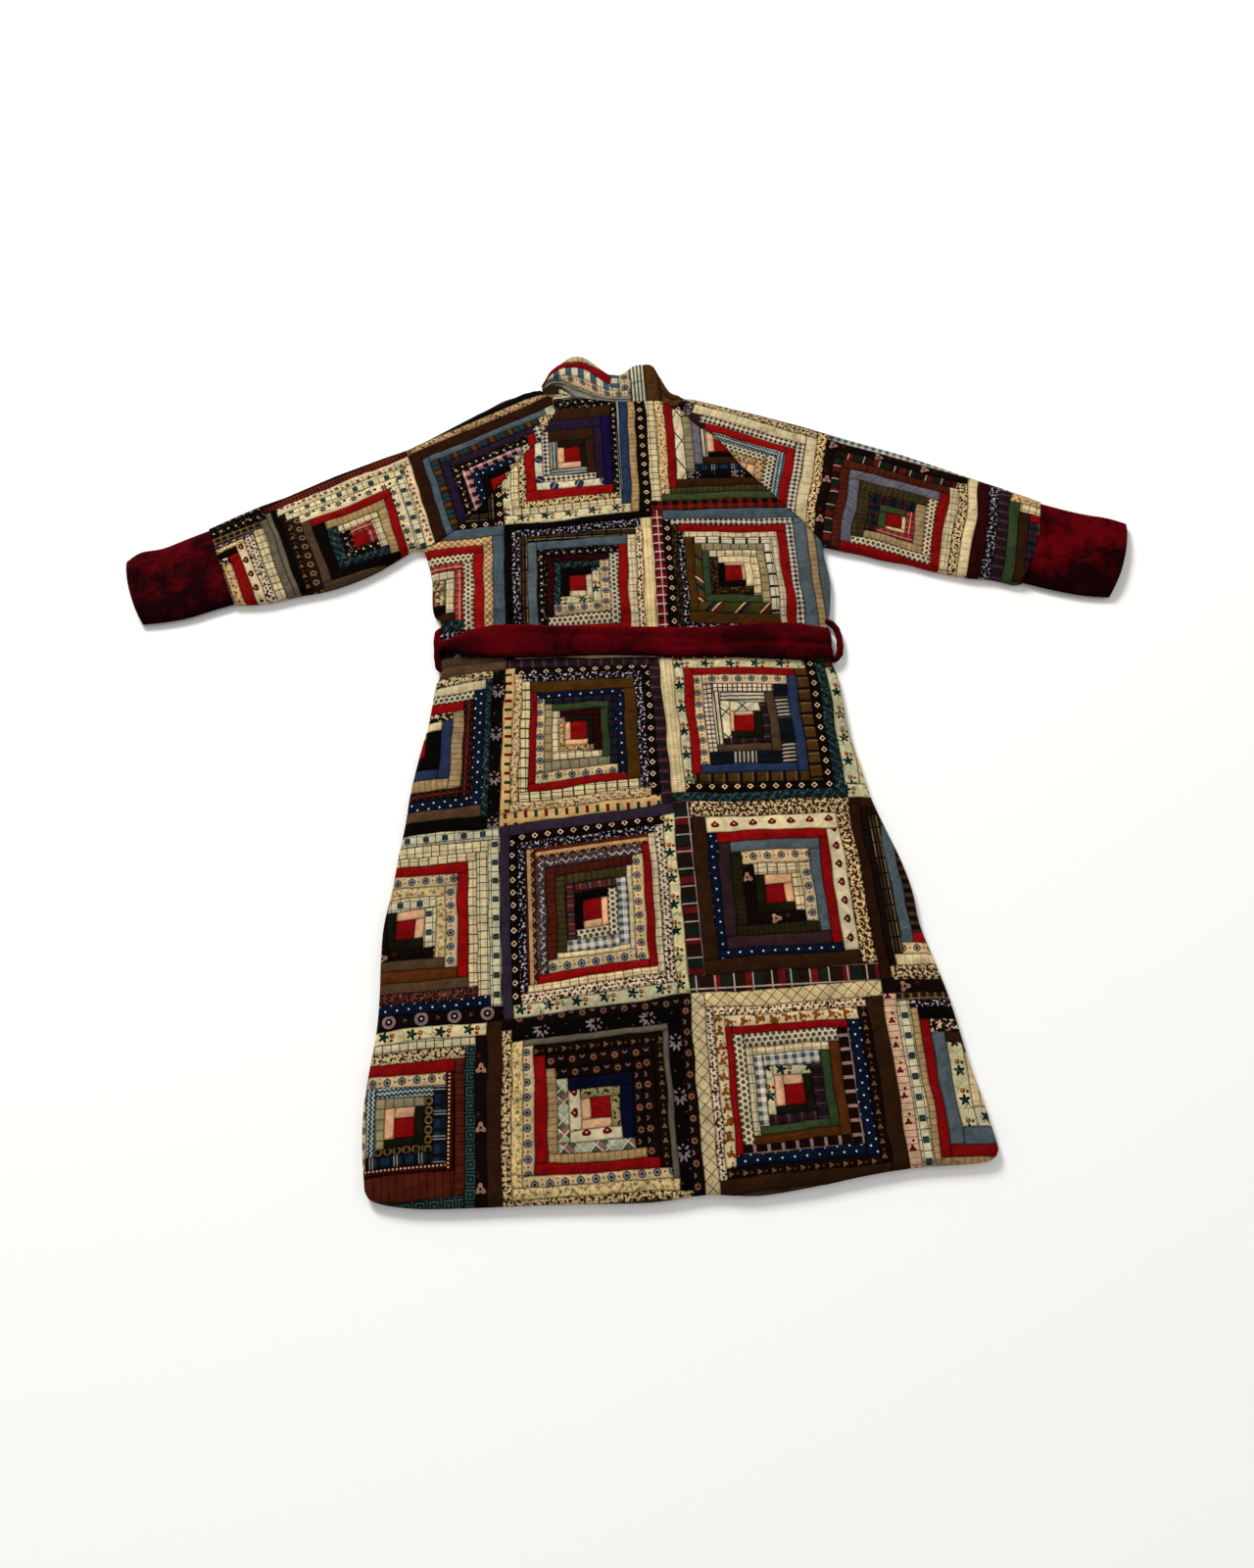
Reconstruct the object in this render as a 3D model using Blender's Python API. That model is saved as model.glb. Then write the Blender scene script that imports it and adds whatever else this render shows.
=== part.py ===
"""Quilted coat of log cabin patchwork, laid out face down with its back up.

Every place below is measured from the crossing of the centre back line and
the seam under the third row of blocks: +X to the wearer's right as the back
is seen, +Y to the neck, +Z up from the surface the coat lies on. main() moves
the finished coat so that its origin is under the middle of its outline.
"""
import math

import bmesh
import bpy
from mathutils import Vector
from mathutils.geometry import delaunay_2d_cdt

MM = 0.001

# Cloth, in millimetres
FRONT_WALL = 6.0        # the two fronts lie flat on the surface
BACK_WALL = 5.5         # the back and the upper half of each sleeve
SEAM_GAP = 0.35         # between pieces sewn side by side
LAYER_GAP = 0.4         # between the fronts and the back at the edges
LOFT = 3.4              # how far the back stands off the fronts in the middle
LOFT_REACH = 42.0       # distance from an open edge over which it rises
HOLLOW_MOST = 3.6       # the layers stay this close, so a fold is thicker padding
LOG_RISE = 1.3          # padded log above its own seams
EDGE_ROLL = 7.0         # width of the rounding along an open edge
EDGE_DROP = 3.2         # how far the top comes down over that rounding
EDGE_LEAST = 2.4        # and what is left of the wall there
INNER_GRID = 70.0       # spacing of the plain inside's points
HAIR = 0.05             # points closer than this are one point

# Log cabin blocks
BLOCK = 210.0
CENTRE_PATCH = 22.0

# Lattice of the back: where the block seams cross, row by row from the hem
LATTICE_COLUMNS = ("far_left", "left", "centre", "right", "far_right")
LATTICE_ROWS = (
    ((-418, -217), (-213, -213), (-2, -215), (213, -207), (418, -211)),
    ((-412, -20), (-207, -16), (-1, -1), (210, -1), (415, -5)),
    ((-409, 206), (-204, 210), (0, 226), (204, 219), (409, 215)),
    ((-394, 416), (-189, 420), (-1, 424), (202, 406), (407, 402)),
    ((-391, 624), (-186, 628), (6, 638), (200, 629), (405, 625)),
    ((-395, 831), (-190, 835), (12, 845), (200, 838), (405, 834)),
)

# Blocks of the back: row, column, sides of the light half, light and dark logs
BACK_BLOCKS = (
    (0, 0, "LT", 8, 8), (0, 1, "LB", 8, 8), (0, 2, "LT", 9, 8), (0, 3, "LB", 8, 8),
    (1, 0, "TR", 8, 8), (1, 1, "RB", 9, 9), (1, 2, "TR", 7, 7), (1, 3, "BR", 8, 8),
    (2, 0, "TL", 8, 8), (2, 1, "LB", 9, 9), (2, 2, "LT", 8, 8), (2, 3, "LB", 8, 8),
    (3, 0, "TR", 8, 8), (3, 1, "RB", 8, 8), (3, 2, "TR", 8, 9), (3, 3, "TR", 8, 8),
    (4, 0, "TL", 8, 8), (4, 1, "LB", 8, 9), (4, 2, "LT", 8, 8), (4, 3, "TR", 8, 8),
)

# Lattice of each sleeve: upper and lower ends of the block seams across it
SLEEVE_SEAMS = {
    "left": (((-688, 600), (-631, 440)), ((-498, 677), (-441, 512)),
             ((-311, 756), (-264, 562)), ((-119, 841), (-69, 637))),
    "right": (((57, 830), (7, 638)), ((250, 743), (200, 547)),
              ((441, 662), (385, 470)), ((632, 583), (579, 390))),
}
SLEEVE_BLOCKS = {
    "left": (("RB", 8, 8), ("TR", 7, 7), ("RB", 8, 8)),
    "right": (("TR", 8, 8), ("RB", 7, 7), ("TR", 8, 8)),
}
OVER_TOP = 32.0         # strip of the next blocks that rolls over the sleeve's upper edge

# Outlines, point by point in the direction that their names say
HEM = ((-356, -184), (-346, -196), (-305, -205), (-254, -208), (-190, -210), (-135, -212),
       (-59, -216), (0, -212), (52, -217), (111, -212), (171, -204), (222, -200),
       (281, -200), (302, -197), (309, -187))
RIGHT_SIDE = ((302, -140), (294, -98), (289, -58), (283, -18), (274, 22), (265, 62),
              (263, 102), (255, 142), (243, 182), (232, 222), (226, 262), (219, 302),
              (217, 342), (215, 382), (211, 402), (211, 452), (217, 470), (222, 500),
              (224, 520), (221, 556))
RIGHT_UNDERARM = (222, 574)
RIGHT_RAGLAN = ((199, 608), (177, 635), (159, 660), (143, 682), (128, 701), (112, 730),
                (95, 755), (80, 769), (70, 780), (60, 797))
RIGHT_NECK_POINT = (49, 806)
BACK_NECK = ((38, 811), (28, 817), (-6, 817), (-38, 820), (-72, 828), (-87, 832), (-100, 838))
LEFT_NECK_POINT = (-116, 838)
LEFT_RAGLAN = ((-110, 812), (-125, 781), (-138, 758), (-161, 734), (-193, 688), (-235, 641),
               (-259, 620), (-276, 608))
LEFT_UNDERARM = (-291, 605)
LEFT_SIDE = ((-285, 583), (-280, 554), (-280, 522), (-278, 506), (-270, 494), (-270, 425),
             (-277, 402), (-285, 356), (-291, 333), (-299, 302), (-308, 262), (-314, 222),
             (-322, 182), (-329, 142), (-338, 102), (-341, 62), (-342, 22), (-345, -18),
             (-352, -58), (-358, -100), (-359, -140))

LEFT_SLEEVE_TOP = ((-135, 852), (-159, 844), (-180, 838), (-201, 826), (-231, 807),
                   (-278, 781), (-310, 764), (-378, 741), (-420, 722), (-463, 702),
                   (-510, 685), (-545, 668))
LEFT_SLEEVE_UNDER = ((-490, 541), (-450, 549), (-420, 553), (-390, 561), (-356, 575),
                     (-329, 591), (-303, 607))
RIGHT_SLEEVE_TOP = ((70, 820), (100, 809), (123, 801), (172, 782), (217, 763), (262, 742),
                    (308, 722), (353, 702), (391, 682), (426, 663), (470, 641))
RIGHT_SLEEVE_UNDER = ((456, 499), (428, 509), (402, 513), (356, 527), (327, 539),
                      (298, 547), (267, 559), (244, 566))

# Soft folds of the back and sleeves: start, end, height, width
FOLDS = (
    ((-250, 508), (-20, 492), 2.6, 20), ((30, 496), (205, 500), 2.2, 18),
    ((-245, 408), (-60, 398), 2.4, 18), ((-10, 392), (190, 376), 1.8, 18),
    ((212, 548), (110, 520), 2.4, 16), ((-268, 572), (-165, 545), 2.2, 18),
    ((-170, 400), (-225, 120), 2.0, 26), ((150, 380), (215, 60), 2.2, 28),
    ((60, 350), (75, 40), -1.8, 26), ((-60, 330), (-80, -20), 1.6, 30),
    ((-300, 60), (-320, -190), 2.6, 22), ((250, 60), (285, -190), 2.4, 22),
    ((120, -60), (130, -205), 1.8, 24), ((-140, -90), (-150, -205), -1.6, 24),
    ((255, 640), (300, 552), 2.8, 14), ((290, 690), (400, 560), 1.8, 22),
    ((445, 630), (420, 515), 2.0, 14), ((-330, 730), (-310, 610), 2.6, 15),
    ((-400, 700), (-380, 570), -1.8, 18), ((-470, 680), (-440, 556), 1.8, 14),
    ((-100, 790), (-150, 690), 1.6, 18), ((90, 740), (150, 650), 1.8, 16),
)

# Belt: x, upper edge and lower edge of the stretch over the back
BELT_STATIONS = (
    (-264, 484, 452), (-240, 478, 443), (-205, 485, 437), (-166, 482, 434), (-120, 476, 432),
    (-74, 471, 431), (-20, 468, 426), (30, 463, 421), (80, 461, 418), (130, 463, 412),
    (175, 459, 406), (202, 450, 405),
)
BELT_MARGIN = 5.0       # the cloth is pressed this far past the belt's edges
BELT_PRESS = 3.0        # padding left under the belt
BELT_THICK = 6.0        # puffed velvet tube over the back
BELT_TURN = 3.2         # the same tube where it is pulled round the sides
BELT_UNDER = 2.5        # and where the coat lies on it
BELT_UNDER_WIDE = 42.0
BELT_ENDS_GAP = 12.0    # its two ends under the centre front
BELT_ROUND = (          # turn round a side: tilt, mm past the side, share of the height
    (10, -3.0, 1.0), (40, 0.45, 1.03), (70, 0.45, 0.8), (110, 0.45, 0.2), (140, 0.45, 0.03),
    (170, -3.0, 0.0),
)
CHANNEL_SPARE = 0.35    # above the belt
CHANNEL_SIDE = 1.2      # and beside it

# Belt loops: bead radius and route in plan, and their height
LOOP_RADIUS = 2.8
LOOP_HEIGHT = 7.2
LOOP_ROUTES = {
    "belt_loop_right": ((218.0, 464), (220.6, 458), (223, 450), (224, 437), (224, 424),
                        (222.8, 413), (219.5, 403.5), (215.1, 396.5)),
    "belt_loop_left": ((-275.2, 496.4), (-277.2, 490), (-277.6, 470), (-277.6, 440),
                       (-277.2, 427), (-275.1, 418.9)),
}

# Velvet cuffs: upper edge, lower edge and bow of each line across, seam to opening
CUFF_WALL = 4.2
CUFF_HIGH = 13.5
CUFF_LINES = {
    "left": (((-569.5, 656.5), (-531, 542), 0.0), ((-598, 645), (-557, 535), -3.0),
             ((-628, 633), (-588, 526), -4.0), ((-656, 629), (-617, 522), -6.0),
             ((-673, 617), (-645, 521), -5.0)),
    "right": (((512, 618), (467, 500), 6.0), ((540, 606), (496, 489), 7.0),
              ((568, 596), (523, 480), 8.0), ((594, 589), (548, 474), 9.0),
              ((617, 579), (572, 471), 7.0)),
}

# Collar: x on the neck seam, y on the neck seam, x and y of its upper edge, height there
COLLAR_STATIONS = (
    (-127, 846.6, -128.5, 861, 11.0), (-116, 838.5, -117, 877, 14.0),
    (-101, 838.6, -101, 889, 17.0), (-90, 833.9, -84, 898, 19.0), (-76, 829.6, -68, 896, 18.5),
    (-60, 825.7, -50, 881, 16.0), (-42, 821.4, -34, 869, 13.5), (-24, 819.2, -17, 868, 13.5),
    (-8, 817.7, -5, 876, 15.5), (8, 817.5, 8, 879, 17.0), (28.5, 817.5, 23, 877, 17.0),
    (34, 814.1, 31, 864, 15.0), (49, 807.0, 44, 834, 12.5), (58, 812.8, 58, 826.5, 11.0),
    (66, 818.2, 68.5, 822.5, 9.5),
)
COLLAR_ROWS = (("seam", 0.0), ("mid", 0.12), ("seam", 0.24), ("mid", 0.36), ("seam", 0.48),
               ("mid", 0.6), ("seam", 0.72), ("mid", 0.86), ("rim", 1.0))
COLLAR_WALL = 5.0
COLLAR_SEAM_HIGH = 12.0

COLOURS = {
    "patchwork": (0.30, 0.22, 0.16), "velvet": (0.16, 0.008, 0.014), "lining": (0.12, 0.08, 0.06),
}


def material(name, roughness):
    """One plain Principled material of the given name."""
    found = bpy.data.materials.get(name)
    if found:
        return found
    made = bpy.data.materials.new(name)
    made.use_nodes = True
    shader = made.node_tree.nodes["Principled BSDF"]
    shader.inputs["Base Color"].default_value = (*COLOURS[name], 1.0)
    shader.inputs["Roughness"].default_value = roughness
    shader.inputs["Metallic"].default_value = 0.0
    made.diffuse_color = (*COLOURS[name], 1.0)
    return made


def add_object(name, mesh_source, collection, material_name, roughness=0.9):
    """Turn a BMesh in millimetres into a named object in metres."""
    mesh = bpy.data.meshes.new(name)
    bmesh.ops.recalc_face_normals(mesh_source, faces=mesh_source.faces)
    bmesh.ops.scale(mesh_source, verts=mesh_source.verts, vec=(MM, MM, MM))
    mesh_source.to_mesh(mesh)
    mesh_source.free()
    mesh.shade_smooth()
    mesh.set_sharp_from_angle(angle=math.radians(50))
    mesh.materials.append(material(material_name, roughness))
    made = bpy.data.objects.new(name, mesh)
    collection.objects.link(made)
    return made


def to_segment(x, y, start, end):
    """Distance from a point to a stretch, and how far along it the nearest point is."""
    dx, dy = end[0] - start[0], end[1] - start[1]
    along = ((x - start[0]) * dx + (y - start[1]) * dy) / (dx * dx + dy * dy)
    along = min(1.0, max(0.0, along))
    return math.hypot(x - start[0] - along * dx, y - start[1] - along * dy), along


def to_line(x, y, line):
    """Distance from a point to a run of stretches."""
    return min(to_segment(x, y, a, b)[0] for a, b in zip(line, line[1:]))


def step(value):
    """Smooth rise from 0 to 1."""
    value = min(1.0, max(0.0, value))
    return value * value * (3.0 - 2.0 * value)


def offset_line(line, distance):
    """The same run of points moved to its left by a distance."""
    moved = []
    for i, point in enumerate(line):
        before, after = line[max(i - 1, 0)], line[min(i + 1, len(line) - 1)]
        dx, dy = after[0] - before[0], after[1] - before[1]
        size = math.hypot(dx, dy)
        moved.append((point[0] - dy / size * distance, point[1] + dx / size * distance))
    return moved


def inside(x, y, outline):
    """True where a point is inside a closed outline."""
    found = False
    for (ax, ay), (bx, by) in zip(outline, outline[1:] + outline[:1]):
        if (ay > y) != (by > y) and x < ax + (y - ay) * (bx - ax) / (by - ay):
            found = not found
    return found


WRIST_PLACES = (1.0, 0.86, 0.6, 0.25, 0.0, -0.25, -0.6, -0.86, -1.0)


def bowed(lower, upper, bow, place, ahead=0.0):
    """Point at a place from -1 to 1 on a bowed line across a sleeve."""
    low, top = Vector(lower), Vector(upper)
    across = (top - low).normalized()
    forward = Vector((across.y, -across.x))
    point = (low + top) / 2 + across * (place * (top - low).length / 2)
    return point + forward * (bow * (1 - place * place) + ahead)


def wrist_line(side):
    """Seam of sleeve and cuff, from its upper to its lower end."""
    upper, lower, bow = CUFF_LINES[side][0]
    return tuple(tuple(bowed(lower, upper, bow, c)) for c in WRIST_PLACES)


LEFT_SLEEVE_WRIST = wrist_line("left")
RIGHT_SLEEVE_WRIST = wrist_line("right")

# The open edges of the laid coat, where its layers round over and meet
OPEN_EDGES = (
    (LEFT_SIDE[-1],) + HEM + (RIGHT_SIDE[0],),
    (HEM[-1],) + RIGHT_SIDE + (RIGHT_UNDERARM,),
    (LEFT_UNDERARM,) + LEFT_SIDE + (HEM[0],),
    (LEFT_NECK_POINT,) + LEFT_SLEEVE_TOP + (LEFT_SLEEVE_WRIST[0],),
    (LEFT_SLEEVE_WRIST[-1],) + LEFT_SLEEVE_UNDER + (LEFT_UNDERARM,),
    (RIGHT_NECK_POINT,) + RIGHT_SLEEVE_TOP + (RIGHT_SLEEVE_WRIST[0],),
    (RIGHT_SLEEVE_WRIST[-1],) + RIGHT_SLEEVE_UNDER + (RIGHT_UNDERARM,),
)


def belt_edges(x):
    """Upper and lower edge of the belt at a place across the back."""
    stations = BELT_STATIONS
    x = min(max(x, stations[0][0]), stations[-1][0])
    for (x0, top0, low0), (x1, top1, low1) in zip(stations, stations[1:]):
        if x <= x1:
            t = (x - x0) / (x1 - x0)
            return top0 + t * (top1 - top0), low0 + t * (low1 - low0)
    return stations[-1][1:]


def level(x, y):
    """Top of the cloth at its seams, without the logs."""
    edge = min(to_line(x, y, line) for line in OPEN_EDGES)
    rise = LOFT * (1.0 - math.exp(-edge / LOFT_REACH))
    drop = EDGE_DROP * (1.0 - min(1.0, edge / EDGE_ROLL))
    folds = 0.0
    for start, end, height, width in FOLDS:
        away, along = to_segment(x, y, start, end)
        folds += height * math.exp(-(away / width) ** 2) * math.sin(math.pi * (0.12 + 0.76 * along))
    folds *= step((edge - 2.0) / 18.0)
    high = FRONT_WALL + LAYER_GAP + BACK_WALL + rise + folds
    upper, lower = belt_edges(x)
    outside = max(y - upper, lower - y) - BELT_MARGIN
    pressed = FRONT_WALL + LAYER_GAP + BELT_PRESS
    if LEFT_SIDE[0][0] < x < RIGHT_SIDE[-1][0]:
        high = pressed + (high - pressed) * step(outside / 26.0)
        drop *= step((outside + 30.0) / 30.0)
    return max(high - drop, FRONT_WALL + LAYER_GAP + EDGE_LEAST)


def back_underside(x, y):
    """Inner face of the upper layer, close over the lower one."""
    lowest = FRONT_WALL + LAYER_GAP
    return min(max(lowest, level(x, y) - BACK_WALL), FRONT_WALL + HOLLOW_MOST)


def log_loops(low_left, low_right, high_right, high_left, light, light_logs, dark_logs):
    """Nested loops of one block: seams low, the middle of each ring of logs raised."""
    rings = max(light_logs, dark_logs)
    log = (BLOCK - CENTRE_PATCH) / (light_logs + dark_logs) / BLOCK
    share = {side: log * (light_logs if side in light else dark_logs) for side in "LRTB"}
    loops = []
    for half in range(2 * rings + 1):
        t = half / (2 * rings)
        x0, x1 = share["L"] * t, 1.0 - share["R"] * t
        y0, y1 = share["B"] * t, 1.0 - share["T"] * t
        xm, ym = (x0 + x1) / 2, (y0 + y1) / 2
        loop = []
        for s, r in ((x0, y0), (xm, y0), (x1, y0), (x1, ym), (x1, y1), (xm, y1), (x0, y1), (x0, ym)):
            low = Vector(low_left).lerp(Vector(low_right), s)
            high = Vector(high_left).lerp(Vector(high_right), s)
            loop.append(low.lerp(high, r))
        loops.append((loop, half % 2))
    return loops


def patchwork(blocks, strips=()):
    """Open sheet of log cabin blocks, with the logs' rise kept in a vertex layer."""
    sheet = bmesh.new()
    puff = sheet.verts.layers.float.new("puff")
    for corners, light, light_logs, dark_logs in blocks:
        before = None
        for loop, raised in log_loops(*corners, light, light_logs, dark_logs):
            ring = [sheet.verts.new((p.x, p.y, 0.0)) for p in loop]
            for vert in ring:
                vert[puff] = raised
            if before:
                for i in range(8):
                    j = (i + 1) % 8
                    sheet.faces.new((before[i], before[j], ring[j], ring[i]))
            before = ring
        middle = sheet.verts.new(sum((v.co for v in before), Vector()) / 8)
        middle[puff] = 1.0
        for i in range(8):
            sheet.faces.new((before[i], before[(i + 1) % 8], middle))
    for low_left, low_right, high_right, high_left in strips:
        rows = []
        for t, raised in ((0.0, 0), (0.28, 1), (0.56, 0), (1.0, 1)):
            row = []
            for s in (0.0, 0.5, 1.0):
                low = Vector(low_left).lerp(Vector(low_right), s)
                high = Vector(high_left).lerp(Vector(high_right), s)
                point = low.lerp(high, t)
                vert = sheet.verts.new((point.x, point.y, 0.0))
                vert[puff] = raised
                row.append(vert)
            rows.append(row)
        for row, above in zip(rows, rows[1:]):
            for i in range(2):
                sheet.faces.new((row[i], row[i + 1], above[i + 1], above[i]))
    bmesh.ops.remove_doubles(sheet, verts=sheet.verts, dist=1.0)
    return sheet


def score(sheet, line):
    """Cut the sheet's faces along a run of stretches, so that it has edges there."""
    for a, b in zip(line, line[1:]):
        start, end = Vector((*a, 0.0)), Vector((*b, 0.0))
        run = end - start
        across = Vector((-run.y, run.x, 0.0)).normalized()
        reach = run.length
        forward = run.normalized()
        crossed = []
        for face in sheet.faces:
            places = [((v.co - start).dot(forward), (v.co - start).dot(across)) for v in face.verts]
            if max(p[0] for p in places) < -HAIR or min(p[0] for p in places) > reach + HAIR:
                continue
            if min(p[1] for p in places) < -HAIR and max(p[1] for p in places) > HAIR:
                crossed.append(face)
        parts = crossed + list({e for f in crossed for e in f.edges})
        parts += list({v for f in crossed for v in f.verts})
        bmesh.ops.bisect_plane(sheet, geom=parts, dist=HAIR, plane_co=start, plane_no=across)


def trim(sheet, outline):
    """Keep what is inside a closed outline."""
    score(sheet, outline + outline[:1])
    spare = []
    for face in sheet.faces:
        middle = face.calc_center_median()
        if not inside(middle.x, middle.y, outline):
            spare.append(face)
    bmesh.ops.delete(sheet, geom=spare, context="FACES")
    bmesh.ops.dissolve_degenerate(sheet, dist=HAIR, edges=sheet.edges)


def rim_of(sheet):
    """The sheet's boundary as one ordered run of vertices."""
    edges = {e for e in sheet.edges if e.is_boundary}
    first = next(iter(sorted(edges, key=lambda e: e.index)))
    run = [first.verts[0], first.verts[1]]
    edges.discard(first)
    while True:
        step_on = [e for e in run[-1].link_edges if e in edges]
        if not step_on:
            return run[:-1]
        edges.discard(step_on[0])
        run.append(step_on[0].other_vert(run[-1]))


def close_under(sheet, under):
    """Drop walls from the sheet's rim and close it with a plain underside."""
    sheet.edges.index_update()
    rim = rim_of(sheet)
    plan = [Vector((v.co.x, v.co.y)) for v in rim]
    outline = [tuple(p) for p in plan]
    xs, ys = [p.x for p in plan], [p.y for p in plan]
    extra = []
    across = int((max(xs) - min(xs)) / INNER_GRID)
    along = int((max(ys) - min(ys)) / INNER_GRID)
    for i in range(across + 1):
        for j in range(along + 1):
            x = min(xs) + (i + 0.5) * INNER_GRID
            y = min(ys) + (j + 0.5) * INNER_GRID
            if inside(x, y, outline) and to_line(x, y, outline + outline[:1]) > 12.0:
                extra.append(Vector((x, y)))
    loop = list(range(len(plan)))
    points, _, faces, origins, _, _ = delaunay_2d_cdt(plan + extra, [], [loop], 1, HAIR / 50)
    low = []
    rim_low = {}
    for point, origin in zip(points, origins):
        vert = sheet.verts.new((point.x, point.y, under(point.x, point.y)))
        low.append(vert)
        for k in origin:
            rim_low[k] = vert
    for face in faces:
        sheet.faces.new([low[i] for i in reversed(face)])
    for k in loop:
        n = (k + 1) % len(rim)
        sheet.faces.new((rim[k], rim[n], rim_low[n], rim_low[k]))


def raise_top(sheet, base=level):
    """Give the trimmed sheet its height: the cloth's level and the logs on it."""
    puff = sheet.verts.layers.float["puff"]
    for vert in sheet.verts:
        x, y = vert.co.x, vert.co.y
        edge = min(to_line(x, y, line) for line in OPEN_EDGES)
        upper, lower = belt_edges(x)
        away = max(y - upper, lower - y) - BELT_MARGIN
        free = step(edge / EDGE_ROLL)
        if LEFT_SIDE[0][0] < x < RIGHT_SIDE[-1][0]:
            free *= step(away / 8.0)
        vert.co.z = base(x, y) + LOG_RISE * vert[puff] * free


def back_outline():
    """Outline of the back, drawn in by half a seam gap at its raglan and neck seams."""
    half = SEAM_GAP / 2
    seam = (RIGHT_UNDERARM,) + RIGHT_RAGLAN + (RIGHT_NECK_POINT,) + BACK_NECK
    seam += (LEFT_NECK_POINT,) + LEFT_RAGLAN + (LEFT_UNDERARM,)
    return list(HEM) + list(RIGHT_SIDE) + offset_line(seam, half) + list(LEFT_SIDE)


def build_back(collection):
    blocks = []
    for row, column, light, light_logs, dark_logs in BACK_BLOCKS:
        below, above = LATTICE_ROWS[row], LATTICE_ROWS[row + 1]
        corners = (below[column], below[column + 1], above[column + 1], above[column])
        blocks.append((corners, light, light_logs, dark_logs))
    sheet = patchwork(blocks)
    trim(sheet, back_outline())
    hem_line = OPEN_EDGES[0][1:-1]
    sides = (offset_line(RIGHT_SIDE, EDGE_ROLL), offset_line(LEFT_SIDE, EDGE_ROLL))
    for line in (offset_line(hem_line, EDGE_ROLL),) + sides:
        score(sheet, line)
    for sign, edge in ((1, 1), (-1, 2)):
        band = [(s[0], s[edge] + sign * BELT_MARGIN) for s in BELT_STATIONS]
        score(sheet, [(band[0][0] - 40.0, band[0][1])] + band + [(band[-1][0] + 40.0, band[-1][1])])
    raise_top(sheet)
    close_under(sheet, back_underside)
    return add_object("back_panel", sheet, collection, "patchwork")


def plain_sheet(outline):
    """One flat face with the given outline, as an open sheet."""
    sheet = bmesh.new()
    sheet.verts.layers.float.new("puff")
    sheet.faces.new([sheet.verts.new((x, y, 0.0)) for x, y in outline])
    return sheet


def belt_under_line(x):
    """Middle of the belt where it passes under the fronts."""
    first, last = BELT_STATIONS[0], BELT_STATIONS[-1]
    t = (x - first[0]) / (last[0] - first[0])
    return (first[1] + first[2]) / 2 * (1 - t) + (last[1] + last[2]) / 2 * t


def channel_cutter(cutters):
    """Bar that presses the belt's channel into the underside of the fronts."""
    half = BELT_UNDER_WIDE / 2 + CHANNEL_SIDE
    deep = BELT_UNDER + CHANNEL_SPARE
    left, right = LEFT_SIDE[5][0] - 15.0, RIGHT_SIDE[14][0] + 15.0
    bar = bmesh.new()
    bmesh.ops.create_cube(bar, size=1.0)
    for vert in bar.verts:
        x = left if vert.co.x < 0 else right
        y = belt_under_line(x) + (half if vert.co.y > 0 else -half)
        vert.co = Vector((x, y, deep if vert.co.z > 0 else -5.0))
    made = add_object("channel_cutter", bar, cutters, "lining")
    made.hide_render = True
    made.display_type = "WIRE"
    return made


def build_fronts(collection, channel):
    """The two fronts, which meet at the centre front under the back."""
    outline = back_outline()
    half = SEAM_GAP / 2
    fronts = []
    for name, sign in (("front_left", -1), ("front_right", 1)):
        sheet = plain_sheet(outline)
        centre = ((half * sign, -400.0), (half * sign, 1000.0))
        score(sheet, centre)
        spare = [f for f in sheet.faces if f.calc_center_bounds().x * sign < 0]
        bmesh.ops.delete(sheet, geom=spare, context="FACES")
        for vert in sheet.verts:
            vert.co.z = FRONT_WALL
        rim = rim_of(sheet)
        low = [sheet.verts.new((v.co.x, v.co.y, 0.0)) for v in rim]
        sheet.faces.new(low)
        for k in range(len(rim)):
            n = (k + 1) % len(rim)
            sheet.faces.new((rim[k], rim[n], low[n], low[k]))
        front = add_object(name, sheet, collection, "lining")
        cut = front.modifiers.new("belt channel", "BOOLEAN")
        cut.operation = "DIFFERENCE"
        cut.object = channel
        fronts.append(front)
    return fronts


def sleeve_outline(side):
    """Closed outline of a sleeve, drawn in by half a seam gap at its seams."""
    half = SEAM_GAP / 2
    if side == "left":
        seam = (LEFT_NECK_POINT,) + LEFT_RAGLAN + (LEFT_UNDERARM,)
        return (offset_line(seam, -half) + list(reversed(LEFT_SLEEVE_UNDER))
                + offset_line(tuple(reversed(LEFT_SLEEVE_WRIST)), -half)
                + list(reversed(LEFT_SLEEVE_TOP)))
    seam = (RIGHT_UNDERARM,) + RIGHT_RAGLAN + (RIGHT_NECK_POINT,)
    return (offset_line(seam, -half) + list(RIGHT_SLEEVE_TOP)
            + offset_line(RIGHT_SLEEVE_WRIST, -half) + list(RIGHT_SLEEVE_UNDER))


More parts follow.
